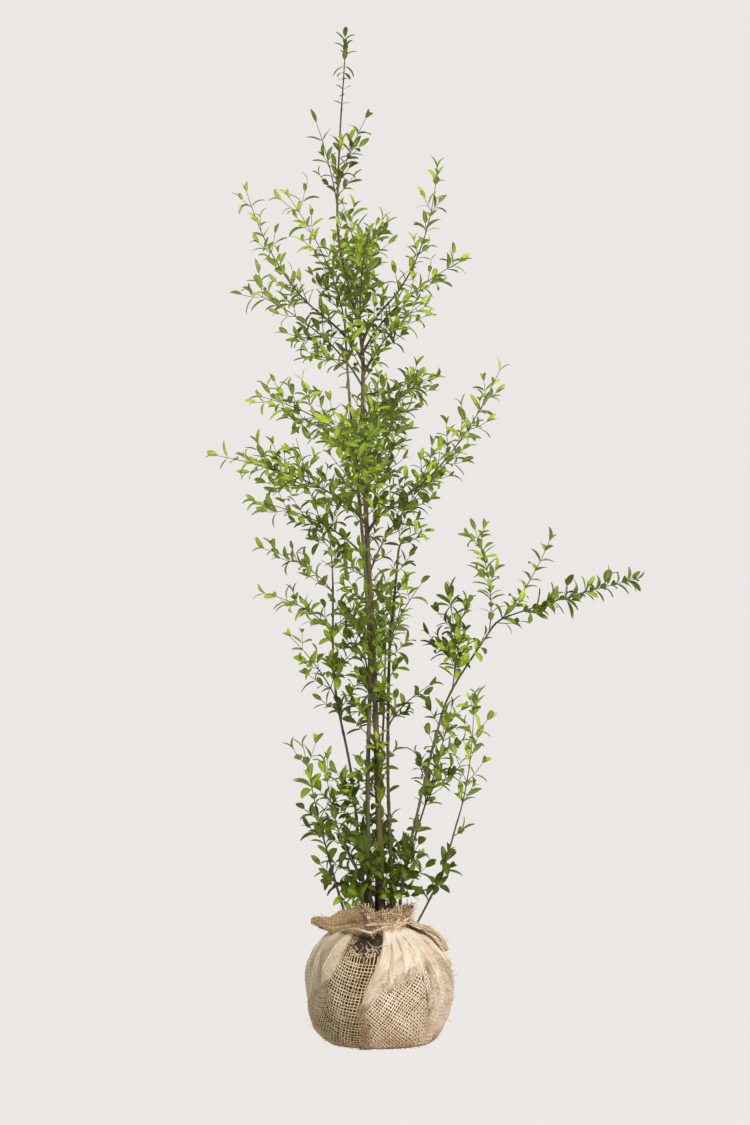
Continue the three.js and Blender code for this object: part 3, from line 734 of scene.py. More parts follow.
# %% How each mass branches
# The reach of its side shoots at its foot and its tip, as a share of its spread, the step of its pairs of
# leaves, and the step of its side shoots.
USUAL_HABIT = 1.08, 0.58, 28, 40
HABITS = {
    "arm_spray": (0.76, 0.4, 10, 40), "upright_spray": (0.5, 0.4, 15, 40),
    "outer_upright_spray": (0.5, 0.4, 20, 40), "left_thin_arm_spray": (0.86, 0.4, 22, 40),
    "mid_left_arm_spray": (1.9, -0.2, 19, 24), "mid_left_upper_spray": (1.3, 0.4, 36, 26),
    "mid_left_lower_spray": (1.1, 0.42, 34, 32), "left_lower_spray": (0.95, 0.28, 38, 42),
    "left_middle_arm_spray": (1.1, 0.36, 30, 36), "left_shoulder_spray": (1.1, 0.5, 30, 34),
    "tip_spray": (0.54, 0.29, 8, 40), "leader_left_spray": (0.62, 0.26, 34, 44),
    "leader_right_spray": (0.6, 0.26, 36, 46), "crown_front_spray": (0.78, 0.54, 32, 38),
    "crown_right_spray": (0.72, 0.38, 36, 46), "upper_right_spray": (0.48, 0.3, 27, 46),
    "upper_left_spray": (0.8, 0.3, 30, 44), "upper_back_spray": (0.86, 0.76, 30, 38),
    "right_tuft": (1.15, 0.85, 32, 32), "mid_right_spray": (0.95, 0.2, 28, 32),
    "mid_right_upper_spray": (1.7, 0.24, 34, 25), "mid_front_spray": (0.86, 0.7, 32, 38),
    "mid_right_lower_spray": (1.0, 1.2, 30, 32), "right_shoulder_spray": (0.9, 0.42, 32, 43),
    "fork_spray": (1.05, 0.5, 32, 30), "stub_spray": (0.7, 0.5, 28, 40),
    "centre_left_spray": (0.9, 0.48, 32, 40), "centre_right_spray": (0.66, 0.4, 36, 46),
    "centre_back_spray": (0.93, 0.54, 30, 38), "mid_back_spray": (1.0, 0.8, 30, 36),
    "right_twig_spray": (0.66, 0.4, 36, 46), "far_right_spray": (0.9, 0.46, 36, 46),
    "mid_right_low_spray": (1.4, 0.36, 38, 34), "left_low_spray": (0.9, 0.46, 36, 46),
    "left_front_spray": (0.95, 0.5, 34, 42), "base_front_spray": (0.86, 0.46, 32, 40),
    "base_left_spray": (0.8, 0.4, 34, 42), "base_right_spray": (0.5, 0.3, 42, 52),
    "base_back_spray": (0.84, 0.44, 32, 40),
}


def grow(number, name):
    mass, rng = masses[name], random.Random(name)
    line, spread = mass["line"], mass["spread"]
    first_roll = rng.uniform(0, TAU)
    round_tube(twigs, line, mass["foot"], TWIG_TIP, max(6, int(line.length / 12)), 0)
    occupy([line.spot(s) for s in np.linspace(0.08, 1, int(line.length / 6))], mass["foot"], number)
    at_foot, at_tip, leaf_step, shoot_step = HABITS.get(name, USUAL_HABIT)
    nodes = max(2, round(line.length * (1 - BARE) / shoot_step))
    for k in range(nodes):
        t = BARE + (1 - BARE) * (k + 0.35) / nodes
        roll = first_roll + QUARTER * k + rng.uniform(-0.2, 0.2)
        for half in (0, math.pi):
            reach = spread * (at_foot + (at_tip - at_foot) * t) * rng.uniform(0.6, 1.15)
            tone = tone_of(name, line.spot(t), rng)
            foot = TAPER * (mass["foot"] + (TWIG_TIP - mass["foot"]) * t)
            side_shoot(number, line, t, roll + half, reach, foot, tone, rng, 1)
    tone = tone_of(name, line.spot(1), rng)
    dress(number, line, BARE, first_roll + QUARTER, tone, rng, leaf_step)


for number, name in enumerate(names):
    grow(number, name)
print("leaves", len(leaves["root"]), "twig faces", len(twigs.faces))

# %% [markdown]
# ## Short shoots on the limbs
# Between the long shoots the stems carry short ones, a hand's width at most, that fill the middle of the
# plant. They come last, and only where there is still room.

# %% Short shoots on each limb: the first and last height, their step, and their reach
SHORT_SHOOTS = {
    "leader": (264, 1740, 26, 62), "second_stem": (264, 1340, 28, 64),
    "right_upright_stem": (266, 940, 40, 40), "left_upright_stem": (268, 880, 38, 56),
    "back_stem": (266, 700, 32, 60), "arching_stem": (266, 800, 46, 48),
    "mid_right_stem": (270, 420, 58, 36), "left_front_stem": (268, 360, 36, 46),
    "left_low_stem": (270, 350, 40, 40), "far_right_stem": (300, 430, 48, 26),
    "right_arm": (806, 828, 8, 44), "mid_left_bough": (1010, 1060, 16, 50),
    "mid_right_bough": (996, 1050, 12, 66), "upper_left_bough": (1330, 1405, 20, 50),
    "upper_right_bough": (1365, 1428, 20, 50),
}
SHORT_SHOOT_SHARE = np.array([  # heights, and the share of the places there that bear a shoot
    (310, 0.7), (330, 0.34), (420, 0.36), (520, 0.34), (690, 0.42), (760, 0.7), (850, 0.42), (890, 0.6),
    (930, 0.5), (1010, 0.42), (1090, 0.75), (1250, 0.62), (1310, 0.85), (1430, 0.95), (1480, 0.2),
    (1600, 0.25), (1630, 0.9), (1740, 0.7)]).T
CROWDED_BELOW = 345  # down here the shoots stand twice as close
SKIRT_BELOW = 312  # and here they lie flat over the collar


def short_shoots(name, first, last, step, reach):
    line, rng = limbs[name]["line"], random.Random(name)
    roll = rng.uniform(0, TAU)
    low = np.arange(first, min(last, CROWDED_BELOW), 0.5 * step)
    for height in np.concatenate([low, np.arange(max(first, CROWDED_BELOW), last, step)]):
        t = share_at_height(line, height + rng.uniform(-6, 6))
        radius = float(radius_at(limbs[name], t))
        roll += QUARTER + rng.uniform(-0.3, 0.3)
        for half in (0, math.pi):
            if rng.random() > np.interp(height, *SHORT_SHOOT_SHARE):
                continue
            skirt = 1.0 if height < SKIRT_BELOW else 0.0
            long = reach * rng.uniform(0.35, 1.0) * (1 + 0.25 * skirt)
            out = line.outward(t, roll + half, rng.uniform(0.75, 1.1) + 0.4 * skirt)
            start = line.spot(t) + line.around(t, roll + half) * 0.7 * radius
            shoot = rising_line(start, out, long, 0.2 * long * (1 - skirt), 8)
            room = np.array([shoot.spot(s) for s in (0.5, 0.75, 1)])
            if not clear_of_wrapping(room) or not within_reach(room) or not is_clear(room, 1.2, "short", 0.6):
                continue
            tone = tone_of(name, shoot.spot(1), rng)
            if dress(LOOSE, shoot, 0.25, rng.uniform(0, TAU), tone, rng, 17):
                round_tube(twigs, shoot, 1.0, TWIG_TIP, 5, 1)
                occupy(room, 1.2, "short")


for name, values in SHORT_SHOOTS.items():
    short_shoots(name, *values)

# %% Pairs of leaves straight on the leader: small ones at its top, and a crowded length lower down
LEADER_PAIRS = [  # height, angle round the stem, angle to it, length
    (1818, 0.3, 1.1, 19), (1834, 1.9, 1.2, 16), (1847, 0.5, 1.0, 20), (1866, 2.2, 1.3, 17),
    (1880, 0.9, 1.9, 24), (1893, 0.1, 2.2, 30)]
CROWDED_PAIRS = range(1622, 1742, 13)
DEEP = 3  # their tone
rng = random.Random("the leader's last pairs")
line = limbs["leader"]["line"]
for height, roll, angle, size in LEADER_PAIRS:
    for half in (0, math.pi):
        note_leaf(LOOSE, line, share_at_height(line, height), roll + half, angle, size, DEEP, rng)
for height in CROWDED_PAIRS:
    roll = rng.uniform(0, TAU)
    for half in (0, math.pi):
        size = LEAF_LENGTH * rng.uniform(0.6, 0.95)
        angle = rng.uniform(0.6, 1.3)
        note_leaf(LOOSE, line, share_at_height(line, height), roll + half, angle, size, DEEP, rng)
print("leaves with those of the short shoots", len(leaves["root"]))

# %% Twigs in two ages of bark
shoots = twigs.make("twigs", [YOUNG_BARK, SHOOT_BARK])
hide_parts(*names)

# %% [markdown]
# ## The leaves
# A privet leaf is a slim oval, dark above, folded a little along its midrib and curling back towards its
# tip. It is made as a thin closed blade of a few dozen faces: a ring of four points at each of nine
# places along it, the left edge, the top of the midrib, the right edge and the underside. All the leaves
# of one tone are bent and placed in one sweep of array sums, which is quick even for thousands.

# %% The outline of one leaf, from stalk to tip
ALONG = np.array([0, 0.06, 0.15, 0.3, 0.48, 0.66, 0.83, 0.94, 1.0])
HALF_WIDTH = np.array([0.07, 0.07, 0.48, 0.87, 1.0, 0.94, 0.67, 0.35, 0.03])
BLADE = 0.24  # half the thickness at the midrib
LIFT = 0.28  # the angle at which a leaf leaves its stalk, for its bend
CURL = 1.15  # how far it has curled back at its tip
CURL_POWER = 1.4


def leaf_points(chosen):
    """Points of many leaves at once: leaf by leaf, ring by ring."""
    pick = {key: np.array([leaves[key][i] for i in chosen]) for key in leaves}
    length, bend = pick["length"][:, None], pick["bend"][:, None]
    angle = -LIFT * bend + CURL * bend * ALONG[None] ** CURL_POWER
    step = np.diff(ALONG, prepend=0)[None] * length
    forth = np.cumsum(np.cos(angle) * step, axis=1)
    down = np.cumsum(np.sin(angle) * step, axis=1)
    way, up = pick["way"][:, None], pick["up"][:, None]
    side = np.cross(up, way)
    middle = pick["root"][:, None] + way * forth[..., None] - up * down[..., None]
    normal = up * np.cos(angle)[..., None] + way * np.sin(angle)[..., None]
    twist = (pick["twist"][:, None] * ALONG[None])[..., None]
    across = side * np.cos(twist) + normal * np.sin(twist)
    normal = normal * np.cos(twist) - side * np.sin(twist)
    half = (pick["slim"][:, None] * length * HALF_WIDTH[None])[..., None]
    lift = normal * half * pick["fold"][:, None, None]
    return np.stack([middle + across * half + lift, middle + normal * BLADE,
                     middle - across * half + lift, middle - normal * BLADE], axis=2)


# %% The faces of one leaf, and where each point lies on it
def leaf_faces():
    rings = len(ALONG)
    faces = []
    for j in range(rings - 1):
        for k in range(4):
            faces.append([4 * j + k, 4 * j + (k + 1) % 4, 4 * j + 4 + (k + 1) % 4, 4 * j + 4 + k])
    faces.append([3, 2, 1, 0])
    faces.append([4 * (rings - 1) + k for k in range(4)])
    return np.array(faces)


LEAF_FACES = leaf_faces()
UNDER = np.array([k in (2, 3) for _ in range(len(ALONG) - 1) for k in range(4)] + [False, False])


def make_leaves(name, chosen, finishes):
    points = leaf_points(chosen)
    count, rings = len(chosen), len(ALONG)
    mesh = bpy.data.meshes.new(name)
    faces = (LEAF_FACES[None] + (np.arange(count) * rings * 4)[:, None, None]).reshape(-1, 4)
    mesh.from_pydata((points.reshape(-1, 3) * MM).tolist(), [], faces.tolist())
    for finish in finishes:
        mesh.materials.append(finish)
    mesh.polygons.foreach_set("material_index", np.tile(UNDER, count).astype(np.int32))
    mesh.polygons.foreach_set("use_smooth", np.full(len(faces), True))
    ends = np.zeros(len(mesh.edges) * 2, np.int32)
    mesh.edges.foreach_get("vertices", ends)
    column = ends.reshape(-1, 2) % 4
    edge = (column[:, 0] == column[:, 1]) & (column[:, 0] % 2 == 0)
    mesh.attributes.new("sharp_edge", "BOOLEAN", "EDGE").data.foreach_set("value", edge)
    corner = faces.reshape(-1)
    across = np.array([1.0, 0.5, 0.0, 0.5])[corner % 4]
    along = ALONG[corner // 4 % rings]
    mesh.uv_layers.new(name="blade").data.foreach_set("uv", np.stack([along, across], 1).ravel())
    mesh.update()
    piece = keep_piece(name, mesh)
    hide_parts(*names)


# %% [markdown]
# ## Leaf finishes
# The upper face is a little glossy with a pale midrib; the underside is paler and dull. The midrib is
# drawn from the blade's own UV map, where 0.5 across is the middle of the leaf.


# %% Upper and under faces in one tone
def times(colour, share, more=0.0):
    return tuple(min(1.0, share * value + more) for value in colour[:3]) + (1.0,)


def leaf_finish(name, green, rib, roughness):
    finish, tree, shader, place = new_finish(name, roughness)
    parts = on_map(tree, "blade")
    off = tree.nodes.new("ShaderNodeMath")
    off.operation = "SUBTRACT"
    off.inputs[1].default_value = 0.5
    tree.links.new(parts.outputs["Y"], off.inputs[0])
    away = tree.nodes.new("ShaderNodeMath")
    away.operation = "ABSOLUTE"
    tree.links.new(off.outputs[0], away.inputs[0])
    mottle = between(tree, clouds(tree, place, 70, 3), 0.36, 0.66)
    base = mixed(tree, mottle, green, times(green, 0.72))
    base = mixed(tree, between(tree, away.outputs[0], 0.09, 0.02), base, rib)
    tree.links.new(base, shader.inputs["Base Color"])
    shader.inputs["Specular IOR Level"].default_value = 0.16
    bumped(tree, shader, clouds(tree, place, 900, 3), 0.25, 0.5)
    return finish


GREENS = [
    ("young", paint(168, 187, 60), paint(156, 170, 86)),
    ("bright", paint(150, 172, 47), paint(140, 156, 74)),
    ("fresh", paint(136, 158, 38), paint(130, 146, 64)),
    ("deep", paint(108, 130, 28), paint(112, 126, 52)),
    ("shaded", paint(82, 100, 20), paint(94, 108, 40)),
]
GLOSSY = 0.44
DULL = 0.7
for tone, (word, upper, under) in enumerate(GREENS):
    rib = times(upper, 1.35, 0.02)
    pair = [leaf_finish(f"{word}_leaf", upper, rib, GLOSSY),
            leaf_finish(f"{word}_underside", under, rib, DULL)]
    chosen = [i for i, value in enumerate(leaves["tone"]) if value == tone]
    make_leaves(f"leaves_{word}", chosen, pair)

# %% [markdown]
# ## The ball of soil
# Under the cloth is a ball of brown field soil held together by roots. It shows through the open weave,
# in the gap at the front where the cloth's edge falls short of the tie, and at the neck from above. Half
# its outline is drawn as a row of points, spun once round, and then made lumpy.

# %% The outline of the ball and the length of cloth up its side
OUTLINE = [[0, 0], [60, 0], [UNDERSIDE, 0], [112, 10], [121, 25], [133, 58], [139, 95], [140, 122],
           [136, 156], [125, 187], [109, 206], [88, 218], [66, 226], [NECK + 8, BALL_TOP]]
FINE = 40  # points between two places of the outline
SMOOTHINGS = 60
corners = range(len(OUTLINE))
fine = np.linspace(0, len(OUTLINE) - 1, FINE * (len(OUTLINE) - 1) + 1)
profile = Line(np.array([np.interp(fine, corners, [p[k] for p in OUTLINE]) for k in (0, 1)]).T)
for _ in range(SMOOTHINGS):
    inner = profile.points.copy()
    inner[1:-1] = 0.25 * inner[:-2] + 0.5 * inner[1:-1] + 0.25 * inner[2:]
    profile = Line(inner)
PROFILE_ARC = np.concatenate([[0], np.cumsum(np.linalg.norm(np.diff(profile.points, axis=0), axis=1))])
TIE_ARC = PROFILE_ARC[-1]


def height_at(arc):
    return np.interp(arc, PROFILE_ARC, profile.points[:, 1])


def arc_at(height):
    return np.interp(height, profile.points[:, 1], PROFILE_ARC)


print("cloth from the underside's centre to the tie", round(TIE_ARC), "mm")

# %% Pleats and the hollow, as in the solids, and finer creases between them
# Each row is a corner's heading at the tie, and how far its pleats have swung from it by the widest place.
CORNERS = [
    (-52, [-50, -27, -6, 17, 42]), (-150, [-24, -4, 14]), (118, [-42, -20, 0, 22, 44]), (30, [-22, 0, 24])]
RIDGES = np.array([(at, turn) for at, turns in CORNERS for turn in turns])
CREASES = np.array([(at, turn) for at, _ in CORNERS for turn in range(-47, 50, 8)])
FAN_HEIGHT = 107  # from the tie down to the widest place
PLEAT = {"tall": 11, "width": 8}
CREASE = {"tall": 2.4, "width": 2.2}
HOLLOW = {"at": -107, "height": 203, "width": 15, "tall": 17, "depth": 15}
SLUMP = {"at": -172, "width": 40, "out": 9}  # where the ball bulges at its lower left
LUMP = 1.3


def degrees_between(a, b):
    return (a - b + 180) % 360 - 180


def ease(x, low, high):
    share = np.clip((x - low) / (high - low), 0, 1)
    return share * share * (3 - 2 * share)


def nearest_of(ridges, heading, height):
    fan = (BALL_TOP - height) / FAN_HEIGHT
    places = ridges[:, 0][:, None] + ridges[:, 1][:, None] * fan[None]
    return np.abs(degrees_between(heading[None], places)).min(axis=0)


def folded_out(ridges, form, heading, height):
    """Ridges and hollows in turn, from as far out to as far in."""
    near = nearest_of(ridges, heading, height) / form["width"]
    strength = ease(height, 45, 170) * (1 - ease(height, 218, BALL_TOP))
    return form["tall"] * strength * (np.exp(-(near**2)) - 0.5)


def relief_at(heading, height):
    """How far the wrapping stands out from the round ball."""
    pleat = folded_out(RIDGES, PLEAT, heading, height)
    crease = folded_out(CREASES, CREASE, heading, height)
    sideways = degrees_between(heading, HOLLOW["at"]) / HOLLOW["width"]
    upright = (height - HOLLOW["height"]) / HOLLOW["tall"]
    hollow = HOLLOW["depth"] * np.exp(-(sideways**2) - upright**2)
    turn = np.radians(heading)
    lumps = np.sin(3 * turn + 1 + height / 90) + 0.8 * np.sin(5 * turn + 2.3 - height / 50)
    lumps = lumps + 0.6 * np.sin(9 * turn + height / 33)
    lumps = LUMP * lumps * ease(height, 12, 60) * (1 - ease(height, 205, 230))
    slump = SLUMP["out"] * np.exp(-((degrees_between(heading, SLUMP["at"]) / SLUMP["width"]) ** 2))
    slump = slump * ease(height, 4, 34) * (1 - ease(height, 55, 120))
    return pleat + crease - hollow + slump + lumps


def ball_surface(heading, arc, out):
    """A place on the ball: heading in degrees, arc from the underside's centre, out along the surface."""
    r = np.interp(arc, PROFILE_ARC, profile.points[:, 0])
    z = height_at(arc)
    way_r = np.interp(arc, PROFILE_ARC, profile.ways[:, 0])
    way_z = np.interp(arc, PROFILE_ARC, profile.ways[:, 1])
    grown = r + relief_at(heading, z) * np.minimum(1, r / 60) + out * way_z
    turn = np.radians(heading)
    return np.stack([grown * np.cos(turn), grown * np.sin(turn), z - out * way_r], axis=-1)


OPENING = {"at": -103, "width": 17, "height": 206, "tall": 13}


def opening_at(heading, height):
    """1 in the middle of the gap at the front, fading out round it."""
    sideways = degrees_between(heading, OPENING["at"]) / OPENING["width"]
    return np.exp(-(sideways**2) - ((height - OPENING["height"]) / OPENING["tall"]) ** 2)


# %% Spin the ball of soil and make it lumpy
SOIL_OUT = -5.4  # from the surface of the solid
SOIL_LUMP = 1.6
NECK_LUMP = 2.5
NECK_DEPTH = 6
bm = bmesh.new()
rows = [bm.verts.new((x * MM, 0, z * MM)) for x, z in profile.points[::8]]
top = bm.verts.new((0, 0, BALL_TOP * MM))
path = rows + [top]
edges = [bm.edges.new(pair) for pair in zip(path, path[1:])]
bmesh.ops.spin(bm, geom=path + edges, cent=(0, 0, 0), axis=(0, 0, 1), angle=TAU, steps=144, use_merge=True)
bmesh.ops.remove_doubles(bm, verts=bm.verts, dist=1e-6)
bmesh.ops.recalc_face_normals(bm, faces=bm.faces)
arcs = arc_at([v.co.z / MM for v in bm.verts])
for vert, arc in zip(bm.verts, arcs):
    x, y, z = vert.co / MM
    heading = np.array([math.degrees(math.atan2(y, x))])
    if z < 1:
        vert.co.z = 4.2 * MM
    elif z > BALL_TOP - 1 and math.hypot(x, y) < NECK + 6:
        lump = NECK_LUMP * noise.fractal(Vector((x, y, 7.0)) / 14, 1.0, 2.0, 4)
        vert.co.z = (BALL_TOP - NECK_DEPTH + lump) * MM
    else:
        lump = SOIL_LUMP * noise.fractal(Vector((x, y, z)) / 13, 1.0, 2.0, 5)
        gap = float(opening_at(heading[0], z))
        out = SOIL_OUT + min(1.2, lump) * (1 + 1.5 * gap) - 7 * gap
        vert.co = Vector(ball_surface(heading, np.array([arc]), np.array([out]))[0] * MM)
soil = keep_piece("soil", smooth_mesh(bm, "soil"))

# %% Damp earth with pale grit and fine roots
earth, tree, shader, place = new_finish("earth", 0.95)
clods = between(tree, clouds(tree, place, 45, 6), 0.35, 0.7)
grit = between(tree, clouds(tree, place, 210, 3), 0.66, 0.74)
base = mixed(tree, clods, paint(30, 22, 14), paint(72, 54, 34))
base = mixed(tree, grit, base, paint(150, 128, 94))
tree.links.new(base, shader.inputs["Base Color"])
bumped(tree, shader, clouds(tree, place, 160, 8), 3.0)
soil.data.materials.append(earth)

# %% [markdown]
# ## The woven cloth
# Jute wrapping cloth is a plain weave of thick soft threads with gaps as wide as the threads. An image
# or a bump would look flat where the threads catch the light, so this cloth is woven for real. A flat
# square is laid under the ball and every thread is followed up its side. Between the corners it keeps
# its true width, and the surplus crowds together below each corner, where it falls into pleats. There
# the cloth lies double or threefold, so a plain sheet under the threads stands for the lower layers. It
# rises over the threads where the folds are smooth and dips into the soil where the mesh is bare.

# %% From a place on the flat cloth to a place on the ball
PITCH = (7.4, 6.1)  # of the threads that lie up the front, and of those across it
REACH = {"left": -372, "right": 372, "front": -290, "back": 372}  # the edges of the cloth
flat_corners = [math.degrees(math.atan2(REACH[v], REACH[u]))
                for u, v in (("left", "front"), ("right", "front"), ("right", "back"), ("left", "back"))]
FLAT = np.array(flat_corners + [flat_corners[0] + 360])  # the corners' headings on the flat cloth
WRAPPED = np.array([-140.0, -42, 40, 128, 220])  # and on the ball
TWIST = -26.0  # how far the cloth lies turned under the ball
MOST_CROWDED = 3.0
GRIP = np.linspace(0.001, 6, 400)
PULL = GRIP / np.tanh(GRIP)


def wrap(u, v):
    """Heading and arc on the ball of a place on the flat cloth."""
    arc = np.hypot(u, v)
    flat = (np.degrees(np.arctan2(v, u)) - FLAT[0]) % 360 + FLAT[0]
    side = np.clip(np.searchsorted(FLAT, flat, side="right") - 1, 0, 3)
    half_flat = (FLAT[side + 1] - FLAT[side]) / 2
    half_ball = (WRAPPED[side + 1] - WRAPPED[side]) / 2
    x = (flat - FLAT[side] - half_flat) / half_flat
    ring = np.interp(arc, PROFILE_ARC, profile.points[:, 0])
    stretch = np.clip(arc / np.maximum(ring, 1), 1, MOST_CROWDED) * half_flat / half_ball
    crowded = ease(arc, 120, 250)
    grip = np.interp(np.maximum(1 + (stretch - 1) * crowded, 1.0), PULL, GRIP)
    twist = TWIST * (1 - ease(arc, 60, 330))
    return WRAPPED[side] + half_ball * (1 + np.tanh(grip * x) / np.tanh(grip)) + twist, arc


THREAD_OUT = -1.4


def on_ball(u, v):
    """The middle of the threads, just under the surface of the solid."""
    heading, arc = wrap(u, v)
    return ball_surface(heading, np.minimum(arc, TIE_ARC), np.full(len(u), THREAD_OUT))


# %% Where the cloth lies single, double or in smooth folds
def within(heading, low, high, soft):
    """1 between two headings, fading out past them."""
    middle, half = (low + high) / 2, (high - low) / 2
    return 1 - ease(np.abs(degrees_between(heading, middle)), half - soft, half + soft)


def front_hem(heading):
    """The height where the smooth folds at the front give way to bare net."""
    return np.interp(degrees_between(heading, 0), [-106, -89, -70, -48], [84, 118, 146, 156])


def left_hem(heading):
    """The same height at the left."""
    return np.interp(degrees_between(heading, -128), [-90, -45, -22, 0], [60, 100, 122, 156])


STRIP_LEFT = [35, 93, 141, 185, 218], [-148, -143, -131, -123, -120]  # heights and headings of its edge
STRIP_RIGHT = [35, 87, 141, 180, 218], [-102, -106, -97, -90, -85]
SMOOTH_BACK = [  # first and last heading, softness, the heights over which the net gives way, strength
    (-45, 6, 11, 8, 48, 0.95), (8, 52, 8, 130, 170, 1.0), (80, 152, 8, 120, 165, 1.0)]


def layers_at(heading, height):
    """0 where the mesh is bare over soil, 0.5 over a second layer, 1 where folds cover the threads."""
    hem = left_hem(heading)
    smooth = within(heading, -218, -128, 4) * ease(height, hem - 44, hem + 8)
    past = degrees_between(heading, np.interp(height, *STRIP_RIGHT))
    hem = front_hem(heading)
    front = ease(past, -3, 0) * (1 - ease(degrees_between(heading, -42), -6, 6)) * (np.abs(past) < 100)
    smooth = np.maximum(smooth, front * ease(height, hem - 26, hem + 18))
    for low, high, soft, net, folds, strength in SMOOTH_BACK:
        smooth = np.maximum(smooth, within(heading, low, high, soft) * ease(height, net, folds) * strength)
    left_edge = np.interp(height, *STRIP_LEFT)
    strip = ease(degrees_between(heading, left_edge), -4, 5) * (1 - ease(past, -3.5, 0.5))
    strip = strip * (np.abs(degrees_between(heading, -115)) < 60)
    strip = strip * (0.35 + 0.65 * ease(height, 20, 52)) * (1 - ease(height, 224, 229))
    return (0.5 + 0.5 * smooth) * (1 - strip)


def sheet_out(layers, height):
    """How far out the lower layers lie, from under the soil's surface to over the threads."""
    out = np.interp(layers, [0, 0.3, 0.5, 0.85, 1], [-9, -5.4, -4.2, -1.0, 0.5])
    return np.minimum(out, -1.5 + 2 * ease(height, 2, 12))


# %% A sheet of cloth bent over any surface, with the flat cloth's own measures as its UV map
def sheet(name, surface, u_range, v_range, cells, finish, thickness=0.7):
    """surface(u, v) gives places in mm, the cloth's own u and v, and how it lies to the threads, which also
    sets how much painted shade its finish puts on it.
    """
    bm = bmesh.new()
    bmesh.ops.create_grid(bm, x_segments=cells[0], y_segments=cells[1], size=1)
    flat = (np.array([vert.co for vert in bm.verts]) + 1) / 2
    u = u_range[0] + flat[:, 0] * (u_range[1] - u_range[0])
    v = v_range[0] + flat[:, 1] * (v_range[1] - v_range[0])
    places, cloth_u, cloth_v, lies = surface(u, v)
    cover = bm.verts.layers.float.new("cover")
    for vert, place, value in zip(bm.verts, places * MM, lies):
        vert.co = place
        vert[cover] = value
    bm.verts.index_update()
    layer = bm.loops.layers.uv.new("cloth")
    for face in bm.faces:
        for loop in face.loops:
            loop[layer].uv = (cloth_u[loop.vert.index] * MM, cloth_v[loop.vert.index] * MM)
    bmesh.ops.remove_doubles(bm, verts=bm.verts, dist=2e-5)
    bmesh.ops.recalc_face_normals(bm, faces=bm.faces)
    bmesh.ops.solidify(bm, geom=bm.faces[:], thickness=thickness * MM)
    bmesh.ops.recalc_face_normals(bm, faces=bm.faces)
    mesh = smooth_mesh(bm, name)
    mesh.materials.append(finish)
    return keep_piece(name, mesh)


# %% [markdown]
# ## Jute finishes
# The cloth is pale straw where it is pulled clean over the folds, and brown where it has soaked up mud at
# the foot and on the right. On the left it is painted grey-green and darker as shade, with moss-green
# patches there, and a thin dark line along its very bottom is a painted contact shadow. These are broad
# drifts of colour over the whole cloth, so they follow the place on the ball.


# %% Jute in drifts of straw and mud, with painted shade on the left and at the bottom
def sums(tree, kind, first, second):
    """One sum of two values, each a plain number or a node's output."""
    node = tree.nodes.new("ShaderNodeMath")
    node.operation = kind
    for value, socket in ((first, node.inputs[0]), (second, node.inputs[1])):
        if isinstance(value, float):
            socket.default_value = value
        else:
            tree.links.new(value, socket)
    return node.outputs[0]


def soiled_and_shaded(tree, place, base, shaded_side, stain):
    """base with mud at the foot and in blotches, a painted grey-green shade with moss patches on the left,
    and a painted contact shadow along the very bottom.
    """
    parts = tree.nodes.new("ShaderNodeSeparateXYZ")
    tree.links.new(place, parts.inputs["Vector"])
    x, z = parts.outputs["X"], parts.outputs["Z"]
    foot = between(tree, clouds(tree, place, 11, 4), 0.34, 0.56)
    foot = sums(tree, "MULTIPLY", between(tree, z, 0.1, 0.0), foot)
    # Painted shade: the left side of the ball is darkened to grey-green, with moss patches within it.
    left = sums(tree, "MULTIPLY", between(tree, x, -0.02, -0.1), shaded_side)
    moss = sums(tree, "MULTIPLY", between(tree, clouds(tree, place, 42, 5), 0.54, 0.66), left)
    mud = between(tree, clouds(tree, place, 24, 6), 0.54, 0.64)
    mud = sums(tree, "MULTIPLY", mud, between(tree, z, 0.2, 0.1))
    base = mixed(tree, sums(tree, "MULTIPLY", foot, stain), base, paint(190, 145, 86))
    # the painted grey-green shade of the left side, then the moss in it
    base = mixed(tree, left, base, paint(150, 133, 93))
    base = mixed(tree, moss, base, paint(108, 110, 72))
    base = mixed(tree, sums(tree, "MULTIPLY", mud, 0.6 * stain), base, paint(172, 128, 76))
    # A painted contact shadow: the cloth darkens in its lowest few millimetres, where it meets the floor.
    return mixed(tree, between(tree, z, 0.007, 0.001), base, paint(74, 54, 36))


def weave_relief(tree):
    """The crests of a plain weave, on the cloth's own measures."""
    axes = on_map(tree, "cloth")
    waves = [sums(tree, "SINE", sums(tree, "MULTIPLY", axes.outputs[k], TAU / (PITCH[k] * MM)), 0.0)
             for k in (0, 1)]
    return between(tree, sums(tree, "MAXIMUM", *waves), -0.4, 1.0)


